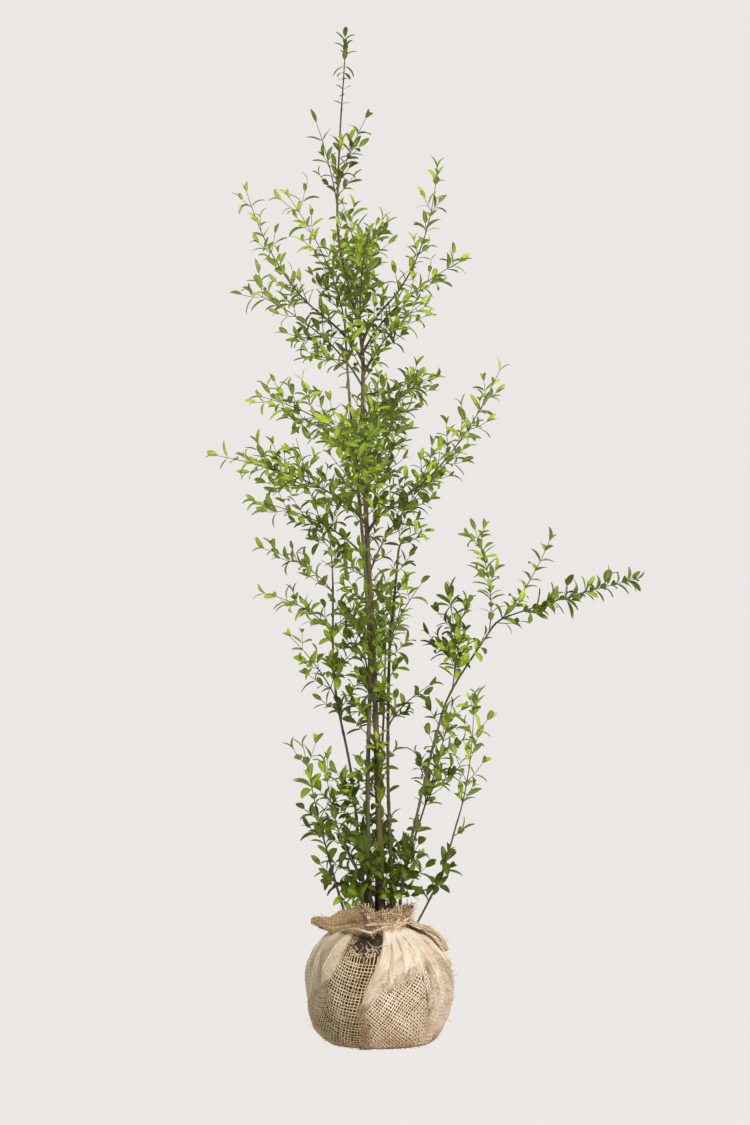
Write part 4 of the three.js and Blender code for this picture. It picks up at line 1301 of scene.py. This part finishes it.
def jute_finish(name, pale, dark, woven=0.0, shaded_side=0.68, stain=1.0):
    """woven is the strength of a weave drawn on a plain sheet, with painted shade in its gaps and where its
    cover is low; threads need none.
    """
    finish, tree, shader, place = new_finish(name, 0.92)
    base = mixed(tree, between(tree, clouds(tree, place, 16, 5), 0.36, 0.64), dark, pale)
    base = soiled_and_shaded(tree, place, base, shaded_side, stain)
    fuzz = clouds(tree, place, 700, 5)
    base = mixed(tree, between(tree, fuzz, 0.56, 0.72), base, paint(238, 224, 198))
    height = fuzz
    if woven:
        crests = weave_relief(tree)
        # Painted shade: the gaps between the drawn threads are darkened toward the dark tone.
        shaded_gaps = sums(tree, "MULTIPLY", sums(tree, "SUBTRACT", 1.0, crests), woven)
        base = mixed(tree, shaded_gaps, base, dark)
        # Painted shade: where the cover is low, the sheet is painted dark brown, as the lower layers under
        # bare net lie in shade.
        cover = tree.nodes.new("ShaderNodeAttribute")
        cover.attribute_name = "cover"
        shade = sums(tree, "MULTIPLY", between(tree, cover.outputs["Fac"], 0.85, 0.55), 0.9)
        base = mixed(tree, shade, base, paint(102, 67, 33))
        height = sums(tree, "ADD", sums(tree, "MULTIPLY", fuzz, 0.5), sums(tree, "MULTIPLY", crests, woven))
    tree.links.new(base, shader.inputs["Base Color"])
    bumped(tree, shader, height, 1.3 if woven else 0.9, 0.9)
    return finish


STRAW = jute_finish("straw_jute", paint(246, 227, 196), paint(206, 175, 132), stain=0.75)
PALE = jute_finish("pale_jute", paint(247, 233, 211), paint(220, 198, 166), shaded_side=0.2, stain=0.45)
TAN = jute_finish("tan_jute", paint(206, 176, 134), paint(146, 112, 74))
FOLDS = jute_finish("folded_jute", paint(243, 232, 218), paint(212, 196, 174), 0.6, 0.84, stain=0.55)
BROWN = jute_finish("brown_jute", paint(178, 144, 104), paint(116, 86, 56), shaded_side=0.2)
TAN_FOLDS = jute_finish("tan_folded_jute", paint(200, 170, 130), paint(140, 110, 74), 0.5)
BROWN_FOLDS = jute_finish("brown_folded_jute", paint(186, 154, 116), paint(118, 90, 60), 0.6)

# %% The lower layers of the cloth, in folds that fan out from the tie
FOLD_TOP = 222
FAN = np.array([  # heading at the tie, heading and height of the fold's foot, how high it stands, its width
    (-82, -104, 64, 5.0, 3.0), (-79, -97, 100, 3.2, 2.4), (-76, -84, 98, 4.4, 2.8),
    (-71, -70, 132, 3.0, 2.6), (-66, -46, 74, 4.6, 2.6), (-60, -24, 60, 4.5, 3.4),
    (-54, -34, 40, 3.0, 2.2), (-48, -2, 80, 3.6, 3.4), (-40, -14, 50, 3.2, 2.8),
    (-134, -141, 90, 2.6, 3.0), (-146, -157, 80, 3.2, 3.2), (-160, -176, 84, 3.0, 3.4),
    (-178, -196, 90, 3.6, 3.6), (30, 14, 110, 4.0, 3.4), (32, 30, 120, 3.2, 3.0), (36, 48, 110, 4.0, 3.6),
    (104, 84, 100, 4.2, 3.4), (112, 102, 110, 3.0, 3.0), (120, 120, 90, 4.4, 3.4),
    (127, 136, 110, 3.2, 3.0), (134, 154, 100, 4.0, 3.6)])


def fan_folds(heading, height):
    """Each fold is a round ridge with a shallow valley at its left."""
    lift = np.zeros(len(heading))
    for at_tie, at_foot, foot, stands, width in FAN:
        place = at_foot + (at_tie - at_foot) * (height - foot) / (FOLD_TOP - foot)
        spread = 0.75 * width * (0.6 + 0.6 * (FOLD_TOP - height) / 120)
        off = degrees_between(heading, place) / np.maximum(spread, 0.6)
        strength = ease(height, foot - 14, foot + 30) * (1 - ease(height, FOLD_TOP, 231))
        lift = lift + 1.25 * stands * strength * (np.exp(-(off**2)) - 0.4 * np.exp(-((off + 1.6) ** 2)))
    return lift


def folds_out(heading, height, layers):
    """How far out the lower layers lie with their folds."""
    return sheet_out(layers, height) + fan_folds(heading, height) * ease(layers, 0.3, 0.7)


GAP_DEPTH = 10


def under_layers(flat_turn, arc):
    u, v = arc * np.cos(flat_turn), arc * np.sin(flat_turn)
    heading, _ = wrap(u, v)
    height = height_at(arc)
    layers = layers_at(heading, height)
    out = folds_out(heading, height, layers) - GAP_DEPTH * opening_at(heading, height) * (layers < 0.5)
    # A painted shadow under the ear: the cover is lowered there, so the finish darkens the sheet.
    ear_shadow = np.exp(-((degrees_between(heading, -136) / 20) ** 2) - ((height - 221) / 9) ** 2)
    return ball_surface(heading, arc, out), u, v, layers - 0.4 * ear_shadow


first_corner = math.radians(FLAT[0])
layers = sheet("cloth_lower_layers", under_layers, (first_corner, first_corner + TAU), (0.0, TIE_ARC),
               (440, 100), FOLDS)


# %% Follow every thread of a cloth over and under its neighbours
WOBBLE = 0.16  # how far a thread strays from its lane, as a share of their step
UNEVEN = 0.22  # how far its width swells and thins
NOTHING = 1e-9


def wobble(along, amount, rng):
    """No thread lies quite straight."""
    first, second = rng.uniform(0, TAU, 2)
    return amount * (np.sin(along / 31 + first) + 0.6 * np.sin(along / 11 + second)) / 1.6


def normals(surface, u, v):
    across = surface(u + 0.5, v) - surface(u - 0.5, v)
    along = surface(u, v + 0.5) - surface(u, v - 0.5)
    normal = np.cross(across, along)
    return normal / np.maximum(np.linalg.norm(normal, axis=1, keepdims=True), NOTHING)


def stretches(there):
    """First and last row of each stretch of a thread that is there, leaving out the shortest."""
    starts = np.flatnonzero(np.diff(np.concatenate([[0], there.astype(int)])) == 1)
    stops = np.flatnonzero(np.diff(np.concatenate([there.astype(int), [0]])) == -1) + 1
    return [(a, b) for a, b in zip(starts, stops) if b - a >= 3]


def weave(surface, u_range, v_range, pitch, size, keep, seed, called, finish, ends=0.0):
    """Two pieces, one of threads along v and one along u. surface(u, v) gives places in mm."""
    made = []
    rng = np.random.default_rng(seed)
    wide, thick = size
    for family in (0, 1):
        cloth = Gathered()
        lanes, runs = (u_range, v_range) if family == 0 else (v_range, u_range)
        step, lap = pitch if family == 0 else pitch[::-1]
        for number, lane in enumerate(np.arange(lanes[0] + step / 2, lanes[1], step)):
            longer = ends * rng.uniform(0, 1, 2)
            along = np.arange(runs[0] - longer[0], runs[1] + longer[1] + 0.1, lap / 2)
            lanes_here = lane + wobble(along, WOBBLE * step, rng)
            u, v = (lanes_here, along) if family == 0 else (along, lanes_here)
            normal = normals(surface, u, v)
            over = np.cos(math.pi * (along / lap + number + family))
            places = surface(u, v) + normal * (0.5 * thick * over)[:, None]
            for a, b in stretches(keep(u, v, family)):
                ways = unit(np.gradient(places[a:b], axis=0) + NOTHING)
                side = unit(np.cross(normal[a:b], ways))
                fat = wide * (1 + UNEVEN * np.sin(along[a:b] / 17 + rng.uniform(0, TAU)))
                cloth.tube(places[a:b], side * (fat / 2)[:, None], np.cross(ways, side) * (thick / 2))
        made.append(cloth.make(called[family], [finish]))
    return made


# %% Weave the cloth round the ball
BIAS_EDGE = [0, 35, 87, 141], [-106, -102, -106, -97]  # heights and headings


def on_the_bias(heading, height):
    """The front right, where the cloth's corner is drawn round so that its threads run aslant."""
    left = np.interp(height, *BIAS_EDGE) + 0.8 * np.sin(height / 6)
    top = front_hem(heading) + 18
    inside = (degrees_between(heading, left) > 0) & (degrees_between(heading, -22 - 0.16 * height) < 0)
    return inside & (height < top) & (height > 4)


LOOSE_ENDS = 9.0
BARE_HEM = 10  # of the front edge, where the threads across it have dropped out


def cloth_is_there(u, v, family):
    heading, arc = wrap(u, v)
    height = height_at(arc)
    inside = (arc < TIE_ARC - 1) & (u > REACH["left"]) & (u < REACH["right"]) & (v < REACH["back"])
    shown = (layers_at(heading, height) < 0.97) & ~on_the_bias(heading, height)
    return inside & shown & (v > REACH["front"] + (BARE_HEM if family == 1 else -LOOSE_ENDS))


cloth = weave(on_ball, (REACH["left"], REACH["right"]), (REACH["front"], REACH["back"]), PITCH, (2.3, 1.25),
              cloth_is_there, 5, ("cloth_warp", "cloth_weft"), STRAW, LOOSE_ENDS)

# %% Weave the corner that lies aslant at the front right
BIAS = {"heading": -74, "height": 70, "slant": math.radians(52), "reach": 120, "radius": 138}


def aslant(u, v):
    """Heading and height of a place on the slanting cloth, measured from its middle."""
    across = u * math.cos(BIAS["slant"]) - v * math.sin(BIAS["slant"])
    up = u * math.sin(BIAS["slant"]) + v * math.cos(BIAS["slant"])
    up = up + 5 * np.sin(across / 34) + 2 * np.sin(across / 13 + up / 19)
    return BIAS["heading"] + np.degrees(across / BIAS["radius"]), BIAS["height"] + up


def bias_surface(u, v):
    """It sinks under the folds at its right and along its top."""
    heading, height = aslant(u, v)
    hem = front_hem(heading)
    sunk = 3.2 * ease(heading, -58, -36) * ease(height, 8, 40) + 2.2 * ease(height, hem - 24, hem + 14)
    return ball_surface(heading, arc_at(np.clip(height, 1, 200)), -0.7 - sunk)


reach = (-BIAS["reach"], BIAS["reach"])
bias = weave(bias_surface, reach, reach, (5.4, 5.4), (2.5, 1.7),
             lambda u, v, family: on_the_bias(*aslant(u, v)), 15, ("bias_warp", "bias_weft"), PALE)
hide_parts("root_ball")
for piece in (layers, *cloth, *bias):
    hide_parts("root_ball")

# %% [markdown]
# ## Frayed ends and twisted folds
# Cut jute frays at once. Loose fibres curl from every edge, and where the cloth is pulled tight under
# the tie it twists into strands. Both are tubes that follow wandering lines.


# %% Curling fibres from given roots
FIBRE_ROWS = 8
FIBRE_TIP = 0.45  # its thickness at the tip, as a share
OFF_FLOOR = 1.2


def fibres(gathered, roots, ways, long, thick, curl, rng, kinds=1):
    """long is the least and the most length, thick the half-width, kinds how many finishes there are."""
    grow_on = np.linspace(0, 1, FIBRE_ROWS)[:, None]
    fat = thick * np.linspace(1, FIBRE_TIP, FIBRE_ROWS)[:, None]
    for root, way in zip(roots, ways):
        length = rng.uniform(*long)
        first = unit(way + 0.35 * rng.normal(size=3))
        bend = np.cross(rng.normal(size=3) * curl, first)
        steps = unit(first + bend * grow_on + 0.22 * rng.normal(size=(FIBRE_ROWS, 3)))
        line = root + np.cumsum(steps, axis=0) * length / FIBRE_ROWS
        line[:, 2] = np.maximum(line[:, 2], OFF_FLOOR)
        side = unit(np.cross(steps, [0.3, 0.2, 1.0]))
        gathered.tube(line, side * fat, np.cross(steps, side) * fat, int(rng.integers(kinds)))


# %% Strands wound round a line
STRAND_STEP = 3.5


def twisted(gathered, line, thick, strands, strand, turns, rng):
    """thick(t) is how far out the strands run, strand their half-width, turns how often they wind round."""
    t, spots, side, up = frames_along(line, max(12, int(line.length / STRAND_STEP)))
    for k in range(strands):
        turn = TAU * (k / strands + turns * t) + rng.uniform(-0.2, 0.2)
        out = (thick(t) * rng.uniform(0.8, 1.0))[:, None]
        way = side * np.cos(turn)[:, None] + up * np.sin(turn)[:, None]
        rows_of = spots + way * out
        ways = unit(np.gradient(rows_of, axis=0))
        across = unit(np.cross(way, ways))
        fat = strand * (0.55 + 0.45 * np.sin(math.pi * np.clip(t, 0.03, 0.97)))[:, None]
        gathered.tube(rows_of, across * fat * 1.25, np.cross(ways, across) * fat)


# %% [markdown]
# ## The gathered neck
# Above the tie the cloth's corners are bunched together in a ruffled, frayed collar: two layers that
# wind in and out, open at the top.

# %% The ruffled collar
COLLAR_CLOTH = 520  # the length of cloth gathered into it
COLLAR_TALL = 27
COLLAR_RADIUS = 49
LAYER_GAP = 6.5


def collar_surface(layer):
    """Ruffles that grow upward, on a ring that opens like a cup."""
    def surface(u, v):
        turn = u / COLLAR_CLOTH * TAU + 0.35 * layer
        rise = np.clip(v / COLLAR_TALL, -0.1, 1.4)
        ruffle = 3.6 * np.sin(7 * turn + layer) + 2.6 * np.sin(12 * turn + 1 + 2 * layer)
        ruffle = ruffle + 1.8 * np.sin(19 * turn + layer)
        r = COLLAR_RADIUS - LAYER_GAP * layer + (0.25 + 0.85 * rise) * ruffle + 4.5 * rise * rise
        crest = 4.0 * np.sin(5 * turn + 0.6) + 2.6 * np.sin(11 * turn + layer) - 3 * layer
        r = r + 1.5 * np.sin(u / 5 + v / 3) + 1.0 * np.sin(u / 2.7 - v / 2 + layer)
        z = BALL_TOP + 1.5 + v + rise * crest + 1.2 * np.sin(u / 7 + v / 4)
        return np.stack([COLLAR["x"] * 0.8 + r * np.cos(turn), r * np.sin(turn), z], axis=-1)
    return surface


collar_pieces = []
for layer, finish in ((0, STRAW), (1, TAN)):
    surface = collar_surface(layer)
    collar_pieces += weave(surface, (0, COLLAR_CLOTH), (0, COLLAR_TALL), (6.4, 6.4), (2.3, 1.2),
                           lambda u, v, family: v > -1, 11 + layer,
                           (f"collar_uprights_{layer}", f"collar_rings_{layer}"), finish, LOOSE_ENDS)
    # Its cover of 0.8 gives this sheet a little painted shade.
    inner = sheet(f"collar_sheet_{layer}",
                  lambda u, v: (surface(u, v) * [0.985, 0.985, 1], u, v, np.full(len(u), 0.8)),
                  (0, COLLAR_CLOTH), (0, COLLAR_TALL * 0.9), (220, 12), TAN_FOLDS)
    collar_pieces.append(inner)

# %% The fray of the collar
COLLAR_HAIRS = 520  # on each layer
rng = np.random.default_rng(17)
collar_fray = Gathered()
for layer in (0, 1):
    u = rng.uniform(0, COLLAR_CLOTH, COLLAR_HAIRS)
    v = rng.uniform(0.05 * COLLAR_TALL, COLLAR_TALL + 3, COLLAR_HAIRS)
    roots = collar_surface(layer)(u, v)
    out = unit(roots * [1, 1, 0] + 1e-6)
    ways = out * rng.uniform(0.2, 1, (COLLAR_HAIRS, 1)) + [0, 0, 0.5]
    fibres(collar_fray, roots, ways, (6, 18), 0.5, 1.4, rng, 2)
collar_pieces.append(collar_fray.make("collar_fray", [TAN, STRAW]))

# %% The strands of cloth under the tie
TIE_RADIUS = 52
RIM = [[-80, -42, 219], [-62, -62, 225], [-44, -73, 228], [-19, -78, 221], [-4, -78, 227], [13, -73, 232],
       [26, -66, 230]]  # over the opening at the front
DRAWN_UP = 11  # strands pulled up through the tie at its front
rng = np.random.default_rng(21)
folds = Gathered()
ring = [[COLLAR["x"] + (TIE_RADIUS + 1.5 * math.sin(5 * a)) * math.cos(a), TIE_RADIUS * math.sin(a),
         BALL_TOP + 2.5 * math.sin(3 * a)] for a in np.radians(np.arange(-60, 301, 12))]
hoop = smooth_line(ring, 260)
twisted(folds, hoop, lambda t: 2.1 + 0.5 * np.sin(31 * t), 8, 1.15, 13, rng)
rim = smooth_line(RIM, 80)
twisted(folds, rim, lambda t: 1.2 + 1.3 * np.sin(math.pi * t) * np.abs(np.sin(9 * t)), 7, 0.85, 3, rng)
for _ in range(DRAWN_UP):
    lean = rng.uniform(-1.3, 1.3)
    strand = smooth_line([[24 + 7 * lean, -70, 206 + 6 * abs(lean)], [26 + 6 * lean, -67, 222],
                          [33 + 10 * lean, -60, 234 + rng.uniform(-3, 3)],
                          [44 + 16 * lean, -48 + 5 * lean, 242 + rng.uniform(-7, 9)]], 40)
    twisted(folds, strand, lambda t: 0.4 + 1.3 * np.sin(math.pi * t), 3, 1.05, 0.9, rng)

# %% Their fray, and the hairs of the tie and the rim
FRAY_HAIRS = 80
roots = np.array([strand.spot(s) for s in rng.uniform(0.1, 1, FRAY_HAIRS)])
roots = roots + rng.normal(0, 6, (FRAY_HAIRS, 3))
ways = np.array([0.3, -0.6, 0.3]) + rng.normal(0, 0.6, (FRAY_HAIRS, 3))
fibres(folds, roots, ways, (6, 18), 0.42, 1.5, rng, 2)
for line, count in ((hoop, 260), (rim, 120)):
    roots = np.array([line.spot(s) for s in rng.uniform(0, 1, count)]) + rng.normal(0, 2, (count, 3))
    outward = unit(roots * [1, 1, 0]) * 0.5
    fibres(folds, roots, outward + rng.normal(0, 0.6, (count, 3)), (5, 16), 0.45, 1.6, rng, 2)
collar_pieces.append(folds.make("gathered_folds", [STRAW, TAN]))
for piece in collar_pieces:
    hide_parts("wrap_collar")

# %% Drawn threads: wrinkles along the folds
DRAWN_ROWS = 22
drawn = Gathered()
DRAWN_FINISHES = [STRAW, TAN, PALE]


def drawn_thread(fold, rng):
    """A fine wrinkle that keeps near to a fold, only where the cloth lies smooth."""
    at_tie, at_foot, foot, _, width = fold
    first, last = rng.uniform(-1, 1, 2) * width
    low = foot + rng.uniform(-6, 60)
    height = np.linspace(rng.uniform(200, 224), low, DRAWN_ROWS)
    down = FOLD_TOP - height
    heading = at_tie + (at_foot - at_tie) * down / (FOLD_TOP - foot)
    heading = heading + first + (last - first) * down / 120 + 0.5 * np.sin(height / 9)
    lies = layers_at(heading, height)
    path = ball_surface(heading, arc_at(height), folds_out(heading, height, lies) + 0.25)[lies > 0.7]
    if len(path) < 6:
        return
    ways = unit(np.gradient(path, axis=0))
    side = unit(np.cross(ways, path * [1, 1, 0]))
    fat = rng.uniform(0.6, 1.3) * np.sin(np.linspace(0.25, 2.9, len(path)))[:, None]
    drawn.tube(path, side * fat, np.cross(ways, side) * fat * 0.7, DRAWN_FINISHES.index(PALE))


rng = np.random.default_rng(29)
for fold in FAN:
    at_front = -110 < fold[1] < 0
    for _ in range(5 if at_front else 2):
        drawn_thread(fold, rng)
print("faces of wrinkles", len(drawn.faces))

# %% Hairs all over the cloth, and thicker where it is worn
ALL_ROUND = 110  # a spread that stands for all headings
FRAYED = [  # heading, height, spread in degrees and mm, number and half-width of the hairs
    (0, 110, ALL_ROUND, 70, 700, 0.3), (-98, 66, 12, 10, 90, 0.5), (-92, 20, 22, 10, 160, 0.5),
    (-32, 92, 11, 22, 260, 0.6), (-28, 165, 14, 16, 130, 0.55), (-64, 140, 14, 14, 70, 0.45),
    (-104, 6, 26, 4, 110, 0.5), (-104, 42, 2.5, 28, 150, 0.65), (-44, 60, 3, 36, 110, 0.6),
    (-128, 60, 12, 14, 90, 0.5)]
for at, high, wide, tall, count, thick in FRAYED:
    all_round = wide == ALL_ROUND
    headings = at + (rng.uniform(-180, 180, count) if all_round else rng.normal(0, wide, count))
    heights = np.clip(high + rng.normal(0, tall, count), 6, 222)
    roots = ball_surface(headings, arc_at(heights), np.full(count, 0.3))
    ways = unit(roots * [1, 1, 0]) * 0.12 + rng.normal(0, 0.5, (count, 3))
    fibres(drawn, roots, ways, (4, 9) if all_round else (5, 16), thick, 1.6, rng, 2)

# %% The two edges of the front net: one hemmed with strands, both hairy
EDGES = [  # heading and height along an edge, the number of hairs, and the number of strands
    ([-106, -102.5, -101, -104, -106], [2, 24, 44, 68, 88], 230, 3),
    ([-106, -97, -86, -72, -58, -46], [92, 112, 130, 148, 156, 160], 120, 0)]
EDGE_OUT = 0.2
for along_edge, up_edge, count, strands in EDGES:
    places = range(len(along_edge))
    share = rng.uniform(0, len(along_edge) - 1, count)
    headings = np.interp(share, places, along_edge) + rng.normal(0, 0.7, count)
    heights = np.interp(share, places, up_edge) + rng.normal(0, 2.5, count)
    roots = ball_surface(headings, arc_at(heights), np.full(count, EDGE_OUT))
    ways = unit(roots * [1, 1, 0]) * 0.1 + rng.normal(0, 0.5, (count, 3)) + [0, 0, -0.3]
    fibres(drawn, roots, ways, (5, 14), 0.6, 1.6, rng, 2)
    t = np.linspace(0, len(along_edge) - 1, 14)
    rope = ball_surface(np.interp(t, places, along_edge), arc_at(np.interp(t, places, up_edge)),
                        np.full(len(t), EDGE_OUT))
    twisted(drawn, smooth_line(rope, 120), lambda t: 0.9 + 0.5 * np.sin(23 * t), strands, 0.85, 5, rng)
drawn_piece = drawn.make("drawn_threads", DRAWN_FINISHES)
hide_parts("root_ball")

# %% The frayed lip of the opening at the front
LIP_HAIRS = 58
THICK_HAIRS = 30
LIP = [-127, -118, -98, -90], [322, 298, 296, 318]  # headings, and how far up the cloth it ends
rng = np.random.default_rng(23)
lip = Gathered()
headings = rng.uniform(LIP[0][0], LIP[0][-1], LIP_HAIRS)
arcs = np.interp(headings, *LIP) + rng.normal(0, 5, LIP_HAIRS)
roots = ball_surface(headings, arcs, np.full(LIP_HAIRS, 0.8))
outward = np.sin(np.radians(headings))
ways = np.stack([rng.normal(0, 0.8, LIP_HAIRS), 0.9 * outward, rng.uniform(-0.5, 0.9, LIP_HAIRS)], 1)
fibres(lip, roots[:THICK_HAIRS], ways[:THICK_HAIRS], (10, 22), 1.0, 1.5, rng)
fibres(lip, roots[THICK_HAIRS:], ways[THICK_HAIRS:], (10, 24), 0.5, 1.6, rng)
lip_piece = lip.make("opening_fray", [PALE])
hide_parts("root_ball")

# %% [markdown]
# ## The two loose corners
# One corner sticks out to the left of the tie as a pointed ear, folded over on itself; the other lies
# over the right shoulder. Each is woven on the surface of its solid: round a spine, wide at the root and
# narrow at the tip, and open along its lower side.

# %% Cloth folded round a spine
# wide is the half-height at the root and the tip, deep the half-depth.
OPEN_AT = math.radians(-80)  # where the cloth's two edges meet, round the spine
FOLDED_ROUND = math.radians(340)
CLOTH_WIDTH = 100
CORNER_CLOTHS = {
    "ear": dict(spine=[[-34, -36, 240], [-62, -42, 236], [-96, -46, 235], [-133, -44, 238]], wide=(26, 3.5),
                deep=(8.5, 2.6), power=2.0, finish=BROWN, under=BROWN_FOLDS, lining=0.985),
    "flap": dict(spine=[[58, -22, 236], [88, -28, 225], [114, -32, 206], [132, -34, 184]], wide=(4.6, 2.6),
                 deep=(23, 13), power=1.0, finish=STRAW, under=FOLDS, lining=0.95),
}


def folded(corner, shrink):
    """The surface of a corner, crumpled, with one long crease in and one ridge out."""
    line = smooth_line(corner["spine"], 60)

    def surface(u, v):
        t = np.clip(u / line.length, 0, 1)
        spots = np.array([line.spot(s) for s in t])
        side = np.array([line.around(s, QUARTER) for s in t])
        up = np.array([line.around(s, 0.0) for s in t])
        wide = corner["wide"][0] + (corner["wide"][1] - corner["wide"][0]) * t ** corner["power"]
        deep = corner["deep"][0] + (corner["deep"][1] - corner["deep"][0]) * t
        turn = OPEN_AT + v / CLOTH_WIDTH * FOLDED_ROUND
        crumple = shrink * (1 + 0.2 * np.sin(u / 9 + 2 * turn) + 0.12 * np.sin(u / 4 + 5 * turn))
        spots = spots + up * (2.2 * np.sin(u / 12))[:, None]
        crumple = crumple * (1 - 0.42 * np.exp(-((np.sin(turn) + 0.25 - 0.3 * t) / 0.14) ** 2))
        crumple = crumple * (1 + 0.36 * np.exp(-((np.sin(turn) - 0.34 + 0.4 * t) / 0.13) ** 2))
        return (spots + up * (wide * np.sin(turn) * crumple)[:, None]
                + side * (deep * np.cos(turn) * crumple)[:, None])
    return surface, line


# %% Weave, line and fray the two corners
CORNER_HAIRS = 90
for (name, corner), seed in zip(CORNER_CLOTHS.items(), (31, 41)):
    surface, line = folded(corner, 1.0)
    pieces = weave(surface, (0, line.length), (0, CLOTH_WIDTH), (5.0, 5.0), (2.0, 1.1),
                   lambda u, v, family: (u > 0) & (v > -1) & (v < CLOTH_WIDTH + 1), seed,
                   (f"{name}_across", f"{name}_along"), corner["finish"])
    inner, line = folded(corner, corner["lining"])
    # Its cover of 0.8 gives this sheet a little painted shade.
    pieces.append(sheet(f"{name}_sheet", lambda u, v: (inner(u, v), u, v, np.full(len(u), 0.8)),
                        (0, line.length), (0, CLOTH_WIDTH), (40, 36), corner["under"]))
    rng = np.random.default_rng(seed)
    fray = Gathered()
    u = rng.uniform(0, line.length, CORNER_HAIRS)
    v = rng.choice([0.0, CLOTH_WIDTH, 0.5 * CLOTH_WIDTH], CORNER_HAIRS) + rng.normal(0, 3, CORNER_HAIRS)
    ways = rng.normal(0, 0.6, (CORNER_HAIRS, 3)) + [0, -0.2, 0.2]
    fibres(fray, surface(u, v), ways, (6, 18), 0.4, 1.0, rng)
    pieces.append(fray.make(f"{name}_fray", [STRAW]))
    for piece in pieces:
        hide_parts(f"wrap_{name}")

# %% [markdown]
# ## The floor, the light and the camera
# The photo is a plain studio picture: an even, pale ground that runs up into the background, soft light
# from all round and a little more from the upper right. The paper is far wider than the plant, and rises
# well behind it, so that one can walk round the plant and look from any side. The camera stands level,
# about six metres away.

# %% A pale floor that curves up behind the plant
# These few measures, of the studio and not of the plant, are in metres.
PAPER = paint(236, 232, 229)
PAPER_HALF_WIDTH = 33
PAPER_FRONT = -46
PAPER_WAYS = [(0, 60, 0), (0, 2.9, 0.58), (0, 2.2, 1.8), (0, 1.3, 3.2), (0, 0.3, 26)]  # back, and then up
bm = bmesh.new()
ends = [bm.verts.new((side * PAPER_HALF_WIDTH, PAPER_FRONT, 0)) for side in (-1, 1)]
edge = [bm.edges.new(ends)]
for way in PAPER_WAYS:
    grown = bmesh.ops.extrude_edge_only(bm, edges=edge)["geom"]
    verts = [g for g in grown if isinstance(g, bmesh.types.BMVert)]
    edge = [g for g in grown if isinstance(g, bmesh.types.BMEdge)]
    bmesh.ops.translate(bm, verts=verts, vec=way)
mesh = bpy.data.meshes.new("studio_floor")
bm.to_mesh(mesh)
bm.free()
floor = bpy.data.objects.new("studio_floor", mesh)
bpy.context.scene.collection.objects.link(floor)
paper = bpy.data.materials.new("studio_paper")
paper.use_nodes = True
nodes, links = paper.node_tree.nodes, paper.node_tree.links
plain = nodes["Principled BSDF"]
plain.inputs["Base Color"].default_value = (0.02, 0.02, 0.02, 1)
plain.inputs["Roughness"].default_value = 1.0
plain.inputs["Specular IOR Level"].default_value = 0.0
plain.inputs["Emission Color"].default_value = PAPER
plain.inputs["Emission Strength"].default_value = 0.978
mesh.materials.append(paper)

# %% Soft light from all round, a key from the upper right and a fill from the left
world = bpy.data.worlds.new("studio")
bpy.context.scene.world = world
world.use_nodes = True
sky = world.node_tree.nodes["Background"]
sky.inputs["Color"].default_value = (1.0, 0.985, 0.96, 1)
sky.inputs["Strength"].default_value = 0.5


def soft_light(name, place, target, size, power, colour):
    lamp = bpy.data.lights.new(name, "AREA")
    lamp.shape = "DISK"
    lamp.size = size
    lamp.energy = power
    lamp.color = colour
    holder = bpy.data.objects.new(name, lamp)
    holder.location = place
    holder.rotation_euler = (Vector(target) - Vector(place)).to_track_quat("-Z", "Y").to_euler()
    bpy.context.scene.collection.objects.link(holder)


soft_light("key", (2.2, -3.4, 4.0), (0, 0, 1.0), 1.4, 250, (1.0, 0.97, 0.9))
soft_light("fill", (-3.2, -2.6, 2.2), (0, 0, 0.9), 2.4, 36, (0.96, 0.98, 1.0))

# %% The camera, at the photo's viewing angle and framing
camera = bpy.data.cameras.new("camera")
camera.sensor_width = 36
camera.lens = 99.0
holder = bpy.data.objects.new("camera", camera)
holder.location = (-0.0097, -6.0, 0.93)
holder.rotation_euler = (math.pi / 2, 0, 0)
bpy.context.scene.collection.objects.link(holder)
bpy.context.scene.camera = holder
bpy.context.scene.view_settings.view_transform = "Standard"
